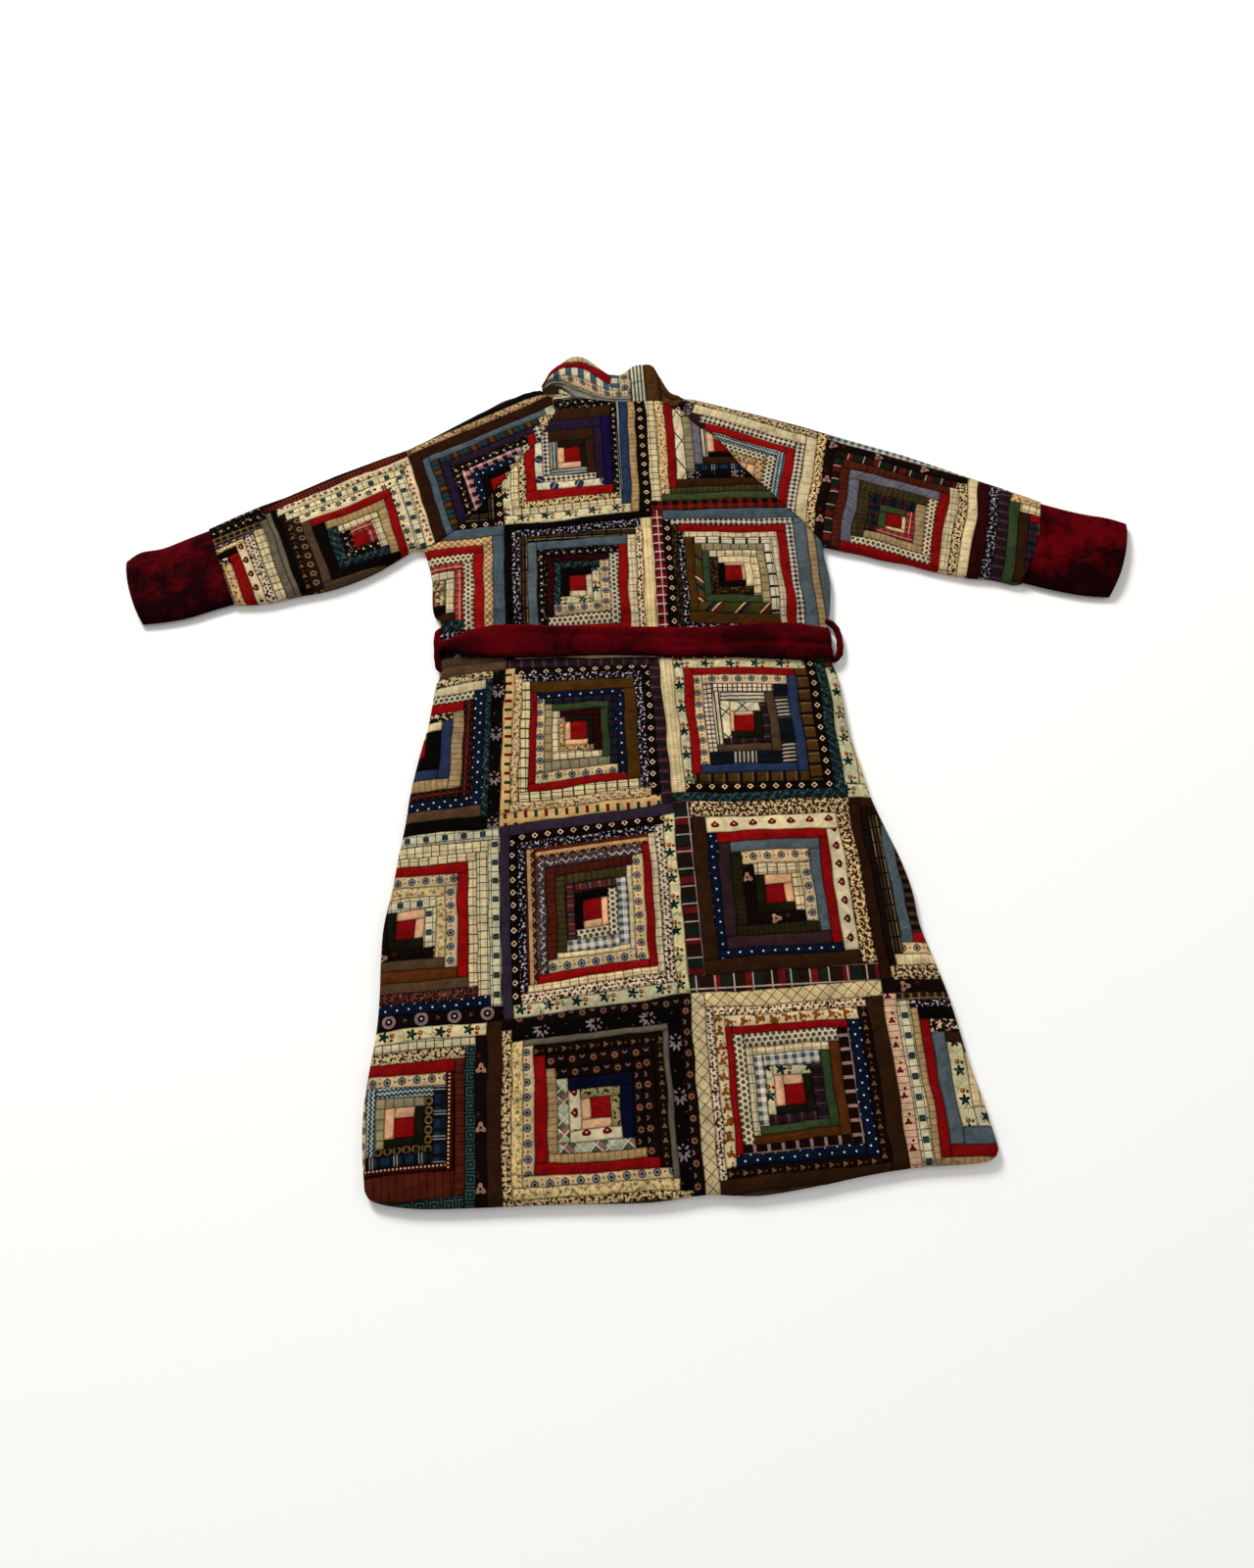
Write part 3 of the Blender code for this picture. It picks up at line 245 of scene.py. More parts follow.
RIGHT_SLEEVE_UNDER = ((456, 499), (428, 509), (402, 513), (356, 527), (327, 539),
                      (298, 547), (267, 559), (244, 566))

# Cuffs: upper edge, lower edge and bow of each line across, from the seam to the opening
CUFF_LINES = {
    "left": (((-569.5, 656.5), (-531, 542), 0.0), ((-598, 645), (-557, 535), -3.0),
             ((-628, 633), (-588, 526), -4.0), ((-656, 629), (-617, 522), -6.0),
             ((-673, 617), (-645, 521), -5.0)),
    "right": (((512, 618), (467, 500), 6.0), ((540, 606), (496, 489), 7.0),
              ((568, 596), (523, 480), 8.0), ((594, 589), (548, 474), 9.0),
              ((617, 579), (572, 471), 7.0)),
}

# Velvets: name, and the least and most that shows of the pile's light side. The right cuff's copy shows
# less of its light side: painted shade on that cuff.
CUFF_PILE = {"left": ("velvet_crushed", -0.05, 0.92), "right": ("velvet_shaded", -0.36, 0.78)}
CUFF_SEEDS = {"left": 31, "right": 47}
CUFF_HIGH = 13.6
CUFF_WALL = 4.2
BELT_PILE = ("velvet_pressed", 0.14, 0.72)

# Soft folds and creases: start, end, height, width
FOLDS = (
    ((-250, 508), (-20, 492), 2.6, 20), ((30, 496), (205, 500), 2.2, 18),
    ((-245, 408), (-60, 398), 2.4, 18), ((-10, 392), (190, 376), 1.8, 18),
    ((212, 548), (110, 520), 2.4, 16), ((-268, 572), (-165, 545), 2.2, 18),
    ((-170, 400), (-225, 120), 2.0, 26), ((150, 380), (215, 60), 2.2, 28),
    ((60, 350), (75, 40), -1.8, 26), ((-60, 330), (-80, -20), 1.6, 30),
    ((-300, 60), (-320, -190), 2.6, 22), ((250, 60), (285, -190), 2.4, 22),
    ((120, -60), (130, -205), 1.8, 24), ((-140, -90), (-150, -205), -1.6, 24),
    ((255, 640), (300, 552), 2.8, 14), ((290, 690), (400, 560), 1.8, 22),
    ((445, 630), (420, 515), 2.0, 14), ((-330, 730), (-310, 610), 2.6, 15),
    ((-400, 700), (-380, 570), -1.8, 18), ((-470, 680), (-440, 556), 1.8, 14),
    ((-100, 790), (-150, 690), 1.6, 18), ((90, 740), (150, 650), 1.8, 16),
)
CREASES = (
    ((-240, 540), (-120, 560), -1.2, 6), ((-210, 470), (-60, 500), -1.4, 7),
    ((60, 486), (190, 520), -1.2, 6), ((-235, 424), (-120, 402), -1.2, 6),
    ((20, 405), (150, 396), -1.0, 6), ((-60, 600), (40, 575), -0.9, 8),
    ((150, 560), (212, 590), -1.2, 6), ((-265, 585), (-215, 615), -1.3, 6),
    ((280, 660), (330, 560), -1.4, 7), ((240, 600), (275, 690), -1.1, 6),
    ((-300, 640), (-345, 720), -1.3, 7), ((-430, 580), (-455, 660), -1.0, 6),
    ((470, 620), (440, 530), -1.1, 6), ((-500, 560), (-520, 640), -0.9, 6),
    ((-225, 500), (-140, 530), -1.3, 5), ((-120, 484), (-60, 540), -1.1, 6),
    ((10, 480), (70, 520), -1.2, 5), ((120, 478), (205, 560), -1.3, 6),
    ((-205, 420), (-150, 350), -1.2, 6), ((-90, 415), (-70, 340), -1.1, 6),
    ((40, 405), (60, 330), -1.1, 6), ((120, 400), (190, 340), -1.3, 6),
    ((-255, 560), (-170, 610), -1.2, 6), ((175, 590), (110, 640), -1.1, 6),
    ((-110, 760), (-60, 700), -1.0, 7), ((60, 720), (20, 680), -0.9, 7),
    ((330, 690), (300, 610), -1.2, 6), ((-390, 640), (-345, 600), -1.2, 6),
    ((-180, 300), (-120, 330), -0.7, 8), ((60, 120), (150, 100), -0.7, 9),
    ((-250, -60), (-180, -40), -0.8, 9), ((180, 250), (215, 210), -0.8, 8),
)

# Belt over the back: x, upper edge and lower edge
BELT_STATIONS = (
    (-264, 466, 452), (-250, 472, 446), (-238, 477, 441), (-205, 484, 437), (-166, 482, 434),
    (-120, 476, 432), (-74, 471, 431), (-20, 468, 426), (30, 463, 421), (80, 461, 418),
    (130, 463, 412), (175, 459, 406), (202, 450, 405),
)
BELT_MARGIN = 5.0       # the back is pressed down this far past the belt's edges
PRESS_REACH = 24.0      # and rises again over this distance
BELT_BASE = 9.7         # lower face of the belt over the pressed back
BELT_TURN_THICK = 3.2   # thickness round the sides
BELT_UNDER = 2.5        # thickness where the coat lies on it
BELT_UNDER_WIDE = 42.0
BELT_WAY = 2.9          # height left for it under the fronts
BELT_ROUND = (          # turn round a side: tilt, mm past the side, share of the height
    (10, -3.0, 1.0), (25, -0.6, 1.03), (40, 0.45, 1.03), (55, 0.45, 0.92), (70, 0.45, 0.8),
    (90, 0.45, 0.5), (110, 0.45, 0.2), (140, 0.45, 0.03), (155, -0.8, 0.0), (170, -3.0, 0.0),
)
LOOP_WIDE = 8.4
LOOP_THICK = 5.6
LOOP_HIGH = 7.2         # its middle above the surface
LOOP_ROUTES = {
    "right": ((210, 461), (216, 458.5), (220.5, 453), (223.5, 446), (224.5, 436), (224.2, 425),
              (222.4, 415), (218.5, 409), (212, 405)),
    "left": ((-267, 484), (-272, 481.5), (-274.5, 475), (-275, 460), (-274.5, 443),
             (-272.8, 431), (-267, 425)),
}

# Collar: x and y on the neck seam, x and y of its upper edge, height there
COLLAR_STATIONS = (
    (-127, 846.6, -128.5, 861, 11.0), (-116, 838.5, -117, 877, 14.0),
    (-101, 838.6, -101, 889, 17.0), (-90, 833.9, -84, 898, 19.0), (-76, 829.6, -68, 896, 18.5),
    (-60, 825.7, -50, 881, 16.0), (-42, 821.4, -34, 869, 13.5), (-24, 819.2, -17, 868, 13.5),
    (-8, 817.7, -5, 876, 15.5), (8, 817.5, 8, 879, 17.0), (28.5, 817.5, 23, 877, 17.0),
    (34, 814.1, 31, 864, 15.0), (49, 807.0, 44, 834, 12.5), (58, 812.8, 58, 826.5, 11.0),
    (66, 818.2, 68.5, 822.5, 9.5),
)
COLLAR_SEAM_HIGH = 12.0
COLLAR_END_HIGH = 5.8   # height at its two ends
COLLAR_ROWS = 46        # rows of points from the neck seam to the upper edge
COLLAR_CHANGE = -7      # the edge is striped left of here and brown to the right

# Collar patchwork from the first log laid to the last: the cloth, its width in mm, 1
# where it runs along the neck or 0 from neck to rim, and its upper edge as x and
# share of the collar's height. Each covers what is below that edge.
COLLAR_LOGS = (
    ("rim_stripe", 10, 1, ((-130, 1.01), (-34, 1.01))),
    ("red", 9, 1, ((-130, 1.01), (-103, 1.0), (-84, 0.81), (-58, 0.88), (-42, 0.95),
                   (-34, 0.96))),
    ("blue_blocks", 12, 1, ((-121, 0.80), (-103, 0.80), (-84, 0.69), (-58, 0.69), (-34, 0.62))),
    ("faded_blue", 9, 1, ((-130, 0.84), (-121, 0.74), (-106, 0.56))),
    ("blue_blocks", 10, 0, ((-34, 1.01), (-23, 1.01))),
    ("medallion", 16, 0, ((-23, 1.01), (-7, 1.01))),
    ("medallion", 12, 1, ((-106, 0.58), (-84, 0.49), (-58, 0.44), (-34, 0.40), (-7, 0.38))),
    ("neck_stripe", 11, 1, ((-124, 0.66), (-104, 0.45), (-84, 0.26), (-58, 0.20), (-34, 0.19),
                            (-7, 0.17))),
    ("brown", 20, 1, ((-130, 0.52), (-118, 0.42), (-104, 0.27), (-90, 0.06))),
    ("cream_stripe", 14, 0, ((-106, 0.22), (-90, 0.05))),
    ("post_stripe", 19, 0, ((-7, 1.01), (13, 1.01))),
    ("post_stripe", 19, 0, ((-7, 0.50), (13, 0.52))),
    ("walnut", 20, 0, ((13, 1.01), (36, 1.01))),
    ("walnut", 30, 1, ((32, 1.01), (67, 1.01))),
    ("walnut", 12, 1, ((33, 0.44), (44, 0.40), (66, 0.60))),
    ("check_black", 10, 1, ((62, 1.01), (80, 1.01))),
)

# Cloths: ground colour, then printed or woven figures from below to above. A figure
# is its kind, colour, repeat and size in mm, then for bars 1 across the log or 0 along
# it and a shift, for slants an angle, and for the others the width of a row, a shift
# along and across it, and the number of lobes or the width of a ring.
CLOTHS = {
    "red": ("8B0B0C", ()),
    "rose": ("EDB385", ()),
    "cream": ("E3CB9C", (("bars", "BCA172", 9, 1.0, 1),)),
    "slub": ("E1C691", (("bars", "B59D68", 5, 1.4, 0), ("bars", "F0D6A5", 3.1, 0.8, 1))),
    "tan": ("AF8E63", (("bars", "866942", 7, 1.2, 1),)),
    "taupe": ("513B29", ()),
    "moss_beige": ("978965", (("bars", "6C6243", 11, 2.0, 1),)),
    "faded_blue": ("515D64", ()),
    "blue": ("273452", ()),
    "mauve": ("6A6570", (("slant", "3D3035", 15, 0.9, 35),)),
    "grey": ("6A5F4E", ()),
    "dotted_cream": ("DEC8A3", (("dots", "222117", 6.6, 4.3, 5.4), ("dots", "726952", 6.6, 1.9, 5.4))),
    "sky_check": ("E3D5BC", (("check", "3C4D5C", 9.5),)),
    "medallion": ("D6B788", (("dots", "26120E", 16, 8.6, 13), ("dots", "757C83", 16, 6.6, 13),
                             ("dots", "3F1811", 16, 3.2, 13), ("dots", "713319", 16, 2.2, 13, 8),
                             ("dots", "41221A", 8, 1.5, 13, 4, 4.8))),
    "grid_cream": ("E3CD9D", (("bars", "423B2B", 9.5, 1.1, 1), ("bars", "544B36", 8, 0.9, 0, 0.5))),
    "cream_stripe": ("E6CD9F", (("bars", "635436", 10, 1.0, 1), ("bars", "99845A", 5, 0.8, 0))),
    "berry_vine": ("E7CEAB", (("vines", "362A1C", 9, 0.035), ("dots", "551319", 6.5, 2.7, 4.2),
                              ("dots", "1D291D", 9.4, 1.9, 6, 3))),
    "teal_sprig": ("D4C89C", (("petals", "0E2525", 31, 13, 17, 0, 1),
                              ("dots", "863412", 31, 5.4, 17, 9.5, 1.6),
                              ("dots", "6B1A0B", 31, 3.6, 17, 8.5, -3.6),
                              ("dots", "DFA665", 31, 1.8, 17, 10, 2), ("vines", "8C875B", 17, 0.012))),
    "green_stripe": ("E0CA9C", (("bars", "484B2E", 11, 1.4, 1), ("bars", "74633E", 6, 0.8, 0))),
    "green_check": ("DECA99", (("bars", "2E3F31", 13, 2.2, 1), ("bars", "35372A", 6, 0.9, 0))),
    "diamond_flower": ("E3D0A3", (("petals", "581C14", 22, 10, 16, 0, 0, 2),
                                  ("diamonds", "5E0F10", 22, 9.2, 16, 0, 1),
                                  ("dots", "E2A374", 22, 2.2, 16, 0, 1))),
    "brown_geometric": ("E3C58F", (("specks", "422210", 3.2, 0.5), ("diamonds", "472210", 9, 5.2, 8))),
    "brown_print": ("DDC08A", (("specks", "512F15", 2.9, 0.54), ("diamonds", "361C0F", 12, 4.4, 6))),
    "diagonal_plaid": ("B4AE90", (("slant", "4E5945", 24, 9, 45), ("slant", "9A5F52", 24, 6, -45),
                                  ("slant", "20241B", 24, 2, 45), ("slant", "E4D5BA", 12, 1.1, 45),
                                  ("slant", "E4D5BA", 12, 1.1, -45))),
    "pale_floral": ("D9BE88", (("petals", "656243", 13, 5.4, 12), ("specks", "A18957", 4, 0.57))),
    "lattice_cream": ("E0C592", (("slant", "624D2A", 10, 0.9, 45), ("slant", "624D2A", 10, 0.9, -45))),
    "tan_lattice": ("C69761", (("slant", "F7D7A5", 6, 1.3, 45), ("slant", "613F1E", 6, 1.1, -45))),
    "orange_sprig": ("EBCC9D", (("petals", "8D5110", 16, 10, 13, 0, 0, 3), ("specks", "85480D", 7, 0.62),
                                ("dots", "442F10", 16, 2.2, 13, 7))),
    "orange_flowers": ("E9CD9F", (("petals", "883813", 15, 7.4, 14), ("dots", "2A2213", 15, 2.4, 14, 7, 3),
                                  ("petals", "352F17", 15, 4.4, 14, 7.5, -2, 3))),
    "black_flowers": ("E7D2A6", (("petals", "131211", 21, 10.5, 16, 0, 0, 6),
                                 ("dots", "8C8F80", 21, 2.6, 16),
                                 ("dots", "19272A", 21, 4.4, 16, 9, 2))),
    "tan_floral": ("DBB580", (("petals", "5A2C17", 11, 4.6, 10), ("specks", "9C7745", 4, 0.58))),
    "pink_berry": ("E4B891", (("bars", "A96D55", 7, 1.1, 1), ("petals", "600B0F", 27, 8, 13, 0, 0, 3),
                              ("dots", "222115", 27, 3.0, 13, 8, -2))),
    "paisley": ("C29C68", (("vines", "62331C", 6, 0.05), ("dots", "F0D0A0", 7, 2.2, 6))),
    "tan_print": ("C8A471", (("specks", "F3D3A3", 2.8, 0.55), ("specks", "6F4D27", 3.6, 0.6))),
    "tan_bars": ("D1AA71", (("bars", "641711", 24, 4.0, 1), ("bars", "1F3427", 24, 4.0, 1, 0.5),
                            ("bars", "D1AA71", 14, 5.0, 0, 0.5))),
    "trellis": ("EAD7B0", (("slant", "414F2B", 24, 1.7, 45), ("slant", "414F2B", 24, 1.7, -45))),
    "diagonal_green": ("E7D4AD", (("slant", "304020", 22, 1.8, 60), ("slant", "304020", 28, 1.4, -60))),
    "pencil_stripe": ("D3C1A1", (("bars", "2B271D", 5.0, 1.8, 0),)),
    "blue_stripe": ("A2A295", (("bars", "2C3238", 4.4, 1.8, 0),)),
    "red_grid": ("EBD5B4", (("bars", "591416", 6, 1.6, 1), ("bars", "292221", 5.4, 1.2, 0))),
    "blue_moons": ("E7D5B4", (("dots", "25314E", 33, 12.5, 20), ("slant", "B5B59A", 9, 0.9, 30))),
    "blue_squares": ("E0D0A6", (("squares", "213A3D", 22, 7.0, 22), ("bars", "4A4736", 11, 1.0, 1),
                                ("bars", "4A4736", 9, 0.9, 0, 0.5))),
    "blue_knit": ("33464D", (("zigzag", "B5BEB6", 5, 1.7),)),
    "check_black": ("E9D4B6", (("check", "080503", 6.6),)),
    "pink_plaid": ("881D1F", (("check", "AE483C", 9), ("bars", "260D10", 9, 1.2, 1),
                              ("bars", "E3B395", 9, 0.9, 0))),
    "white_dots": ("0D0804", (("diamonds", "C6B197", 10, 3.4, 8.5), ("specks", "695B4A", 5, 0.67))),
    "black_bars": ("E6D0A9", (("bars", "0C101A", 17, 3.2, 1), ("bars", "514934", 7, 0.9, 0))),
    "green_floral": ("91825A", (("specks", "232615", 4.4, 0.58),)),
    "squiggle": ("E0C489", (("vines", "301B0D", 5, 0.075),)),
    "white_floral": ("100905", (("specks", "E1C8A5", 4.6, 0.57), ("specks", "5D3D26", 3.4, 0.62))),
    "black": ("080504", ()),
    "charcoal": ("190E08", (("bars", "110806", 6, 2, 1),)),
    "charcoal_sprig": ("150A06", (("petals", "7B5B34", 15, 6, 13, 0, 0, 3),
                                  ("dots", "64321C", 15, 2.6, 13, 7))),
    "dark_green": ("19170A", ()),
    "dark_olive": ("26200D", (("bars", "19160A", 6, 1.6, 1),)),
    "olive": ("40341B", (("bars", "2F2614", 7, 2.0, 1),)),
    "green": ("344327", ()),
    "brown": ("321B0C", ()),
    "chocolate": ("2D150A", ()),
    "ochre": ("4B2E0E", ()),
    "rust": ("572C0E", ()),
    "russet": ("4D1C10", (("bars", "361208", 8, 1.4, 1),)),
    "plum": ("311E21", ()),
    "purple": ("25182E", ()),
    "violet": ("1A0A3B", ()),
    "slate": ("322736", ()),
    "maroon": ("2C0508", ()),
    "navy": ("080B24", ()),
    "navy_dots": ("09162B", (("dots", "E7D9C6", 13, 2.2, 6.5),)),
    "navy_floral": ("080A14", (("specks", "B6B4B7", 3.3, 0.61), ("dots", "632525", 8, 1.9, 5))),
    "navy_plaid": ("101720", (("bars", "142942", 18, 6, 0), ("bars", "90897E", 26, 1.1, 1),
                              ("bars", "90897E", 26, 1.1, 1, 0.12), ("bars", "0B1109", 13, 4, 1, 0.5))),
    "navy_stripes": ("0E111B", (("bars", "A29681", 5, 2.4, 1), ("bars", "0E111B", 62, 34, 1))),
    "black_diamonds": ("0E0704", (("diamonds", "E9C9A1", 15, 7.4, 15),
                                  ("diamonds", "58150F", 15, 4.4, 15))),
    "black_circles": ("130A06", (("petals", "92614A", 23, 8, 14, 0, 0, 8), ("dots", "130A06", 23, 2.8, 14),
                                 ("dots", "6E545A", 23, 5.4, 14, 11, 3),
                                 ("dots", "130A06", 23, 5, 14, 11, 5))),
    "mauve_circles": ("100806", (("dots", "8D706E", 36, 15, 18), ("dots", "100806", 36, 8.2, 18),
                                 ("dots", "CCB1A2", 36, 2.8, 18),
                                 ("petals", "5A3E3C", 36, 5, 18, 18, 0, 3))),
    "black_leaf": ("080605", (("petals", "8B7676", 58, 19, 27, 0, 0, 9),
                              ("petals", "080605", 58, 11, 27, 2, 0, 4),
                              ("dots", "58484C", 29, 1.8, 9, 13, 3))),
    "pink_floral": ("120806", (("petals", "9F7262", 62, 13, 17, 0, 0, 3),
                               ("petals", "491712", 62, 6, 17, 14, 3, 4),
                               ("dots", "120806", 62, 3, 17))),
    "braid": ("4E4241", (("zigzag", "BEACA9", 9, 2.4), ("specks", "312629", 3.6, 0.56))),
    "zigzag": ("50190D", (("zigzag", "BD9668", 12, 1.6), ("bars", "BD9668", 26, 4.0, 0))),
    "scallop": ("24150A", (("petals", "B28D63", 14, 9, 12, 0, 0, 8), ("dots", "332013", 14, 4.6, 12))),
    "red_plaid": ("5E2220", (("bars", "3A2222", 22, 8, 1), ("bars", "7A5F55", 11, 1.1, 1),
                             ("bars", "2E1716", 10, 3.0, 0, 0.5))),
    "maroon_plaid": ("1F0808", (("bars", "621C17", 14, 2.4, 0), ("bars", "341711", 9, 3, 1))),
    "maroon_print": ("30090E", (("vines", "8B5A46", 4, 0.03),)),
    "maroon_chain": ("3C0C0A", (("bars", "0D0704", 13, 5, 0, 0.5), ("dots", "D2B689", 4.2, 2.2, 13))),
    "gold_chain": ("1B1106", (("rings", "7A5F39", 10, 7, 13, 0, 0, 1.6),)),
    "greek_key": ("09171A", (("key", "304843", 15, 1.7, 15),)),
    "tartan": ("491A17", (("bars", "162119", 24, 10, 1), ("bars", "151B2D", 14, 5, 0),
                          ("bars", "9F8E69", 24, 1.3, 1, 0.5), ("bars", "080706", 12, 2, 1))),
    "harvest_plaid": ("35200E", (("bars", "1A353B", 27, 11, 1), ("bars", "573A1A", 27, 5, 1, 0.45),
                                 ("bars", "150D0A", 9, 1.4, 1), ("bars", "150D0A", 13, 1.6, 0, 0.3))),
    "rust_floral": ("6A6347", (("petals", "822615", 19, 9, 13, 0, 0, 4), ("specks", "C9B788", 5, 0.57),
                               ("petals", "273D3C", 19, 7, 13, 9.5, 2, 3))),
    "window_plaid": ("23120A", (("bars", "162117", 36, 10, 1, 0.3), ("bars", "641414", 36, 8, 1, 0.62),
                                ("bars", "B49E90", 21, 1.6, 1), ("bars", "B49E90", 19, 1.6, 0, 0.45))),
    "purple_plaid": ("311622", (("bars", "18170C", 14, 6, 1), ("bars", "22171E", 9, 3, 0),
                                ("bars", "523340", 14, 1.6, 1, 0.5))),
    "red_check": ("711B10", (("check", "080503", 13),)),
    "red_lines": ("961313", (("bars", "15182C", 13, 2.6, 1, 0.35), ("bars", "15182C", 9, 1.6, 0, 0.5),
                             ("bars", "F0DDBB", 13, 1.2, 1), ("bars", "F0DDBB", 9, 0.8, 0, 0.1))),
    "brick_check": ("682616", (("bars", "350F09", 5, 1.6, 1), ("bars", "350F09", 5, 1.2, 0))),
    "walnut": ("533217", ()),
    "blue_blocks": ("E0D0AC", (("bars", "48576A", 16.7, 8.4, 1, 0.413),)),
    "neck_stripe": ("8B8671", (("bars", "49483D", 5.5, 2.4, 0), ("bars", "BAB298", 11, 1.2, 0, 0.5))),
    "post_stripe": ("D0C9AD", (("bars", "4B5243", 4.8, 2.5, 0),)),
    "rim_stripe": ("E8D3A4", (("bars", "8E8059", 7, 0.9, 1), ("bars", "A79466", 3.2, 0.7, 0))),
    "mauve_check": ("250F15", (("check", "DCA4A2", 14),)),
    "stripe_check": ("1E120B", (("bars", "4E2F1C", 11, 4, 1), ("bars", "0B0705", 11, 3, 1, 0.5))),
    "brown_stripe": ("412C16", (("bars", "0B0D17", 4.2, 2.0, 0), ("bars", "8C7040", 8.4, 1.1, 0, 0.25),
                                ("bars", "0E0A0A", 19, 2.0, 1))),
    "brown_window": ("4E3214", (("bars", "120C0A", 17, 3.4, 1), ("bars", "7C6442", 17, 0.9, 1, 0.22),
                                ("bars", "1A120B", 15, 1.4, 0, 0.5))),
    "windowpane": ("41230D", (("bars", "120A06", 9, 2.4, 1), ("bars", "8A7457", 9, 1.0, 1, 0.5),
                              ("bars", "8A7457", 7, 1.0, 0, 0.5))),
    "brown_marks": ("1D1106", (("specks", "563C20", 4, 0.6),)),
    "diagonal_stripe": ("423918", (("slant", "64150E", 22, 5, 45), ("slant", "E2CDAD", 22, 1.5, 45),
                                   ("slant", "151B28", 31, 3.4, 45))),
    "mauve_bars": ("150807", (("bars", "96776F", 15, 3.4, 1), ("bars", "96776F", 17, 2.0, 0, 0.3))),
    "teal_print": ("0F2020", (("slant", "2C403F", 9, 2.2, 40), ("specks", "475650", 4, 0.64))),
}
LINING_CLOTH = "taupe"

# Stage: the camera stands at the photograph's place and angle, worked out from the block
# seams, in metres. Softboxes: name, place, side in metres and watts.
CAMERA_PLACE = (-0.0513, -0.6871, 1.3974)
CAMERA_RIGHT = (0.9977, -0.0678, -0.0098)
CAMERA_UP = (0.0661, 0.9146, 0.3989)
CAMERA_LENS = 29.41     # mm, on a sensor 36 mm wide
SOFTBOXES = (
    ("softbox_high", (-1.8, 3.8, 3.1), 1.5, 270.0),
    ("softbox_side", (2.4, 0.2, 2.4), 1.6, 10.0),
    ("softbox_low", (-0.4, -2.7, 3.0), 1.8, 16.0),
)
ROOM_LIGHT = 0.40       # strength of the white room round the stage
FLOOR_WIDE = 12.0       # metres


def smooth_step(value):
    """Smooth rise from 0 to 1."""
    value = np.clip(value, 0.0, 1.0)
    return value * value * (3.0 - 2.0 * value)


def rounded(line, steps=4):
    """The same run of points with its corners eased by a curve through them."""
    points = np.array(line, dtype=float)
    last = len(points) - 1
    out = []
    for i in range(last):
        a, b, c, d = (points[min(max(i + k, 0), last)] for k in (-1, 0, 1, 2))
        for t in np.arange(steps) / steps:
            out.append(0.5 * (2 * b + (c - a) * t + (2 * a - 5 * b + 4 * c - d) * t * t
                              + (3 * b - 3 * c + d - a) * t ** 3))
    out.append(points[-1])
    return np.array(out)


def cuff_point(lower, upper, bow, place):
    """Point at a place from -1 to 1 on a bowed line across a sleeve."""
    low, top = np.array(lower, dtype=float), np.array(upper, dtype=float)
    wide = np.linalg.norm(top - low)
    across = (top - low) / wide
    forward = np.array((across[1], -across[0]))
    return (low + top) / 2 + across * place * wide / 2 + forward * bow * (1 - place * place)


def wrist_line(side):
    """Seam of sleeve and cuff, from its upper to its lower end."""
    upper, lower, bow = CUFF_LINES[side][0]
    return np.array([cuff_point(lower, upper, bow, place) for place in np.linspace(1, -1, 13)])


SEWN = {
    "neck": rounded((RIGHT_NECK_POINT,) + BACK_NECK + (LEFT_NECK_POINT,)),
    "left": rounded((LEFT_NECK_POINT,) + LEFT_RAGLAN + (LEFT_UNDERARM,)),
    "right": rounded((RIGHT_UNDERARM,) + RIGHT_RAGLAN + (RIGHT_NECK_POINT,)),
}
SIDES = {
    "left": rounded((LEFT_UNDERARM,) + LEFT_SIDE + (HEM[0],)),
    "right": rounded((HEM[-1],) + RIGHT_SIDE + (RIGHT_UNDERARM,)),
}
SLEEVE_EDGES = {
    "left_top": rounded((LEFT_NECK_POINT,) + LEFT_SLEEVE_TOP + (CUFF_LINES["left"][0][0],)),
    "left_under": rounded((CUFF_LINES["left"][0][1],) + LEFT_SLEEVE_UNDER + (LEFT_UNDERARM,)),
    "right_top": rounded((RIGHT_NECK_POINT,) + RIGHT_SLEEVE_TOP + (CUFF_LINES["right"][0][0],)),
    "right_under": rounded((CUFF_LINES["right"][0][1],) + RIGHT_SLEEVE_UNDER + (RIGHT_UNDERARM,)),
}
OPEN_EDGES = [rounded(HEM), *SIDES.values(), *SLEEVE_EDGES.values()]


def nearest_on(points, line):
    """Distance of each point to a run of stretches, and the nearest place on it."""
    best = np.full(len(points), 1e9)
    place = np.zeros_like(points)
    for a, b in zip(line[:-1], line[1:]):
        run = b - a
        size = float(run @ run)
        if size < 1e-9:
            continue
        along = np.clip((points - a) @ run / size, 0.0, 1.0)
        spot = a + along[:, None] * run
        away = np.hypot(*(points - spot).T)
        closer = away < best
        best[closer] = away[closer]
        place[closer] = spot[closer]
    return best, place


def within(points, outline):
    """True for each point inside a closed outline."""
    x, y = points.T
    found = np.zeros(len(points), dtype=bool)
    for (ax, ay), (bx, by) in zip(outline, np.roll(outline, -1, axis=0)):
        if ay == by:
            continue
        crosses = (ay > y) != (by > y)
        found ^= crosses & (x < ax + (y - ay) * (bx - ax) / (by - ay))
    return found


def on_body(points):
    """True for each point between the coat's two sides."""
    return (points[:, 0] > BODY_SPAN[0]) & (points[:, 0] < BODY_SPAN[1])


def belt_edges(x):
    """Upper and lower edge of the belt at places across the back."""
    stations = np.array(BELT_STATIONS, dtype=float)
    return np.interp(x, stations[:, 0], stations[:, 1]), np.interp(x, stations[:, 0], stations[:, 2])


def belt_middle(x):
    """Middle of the belt where it passes under the fronts."""
    first, last = BELT_STATIONS[0], BELT_STATIONS[-1]
    share = (x - first[0]) / (last[0] - first[0])
    return (first[1] + first[2]) / 2 * (1 - share) + (last[1] + last[2]) / 2 * share


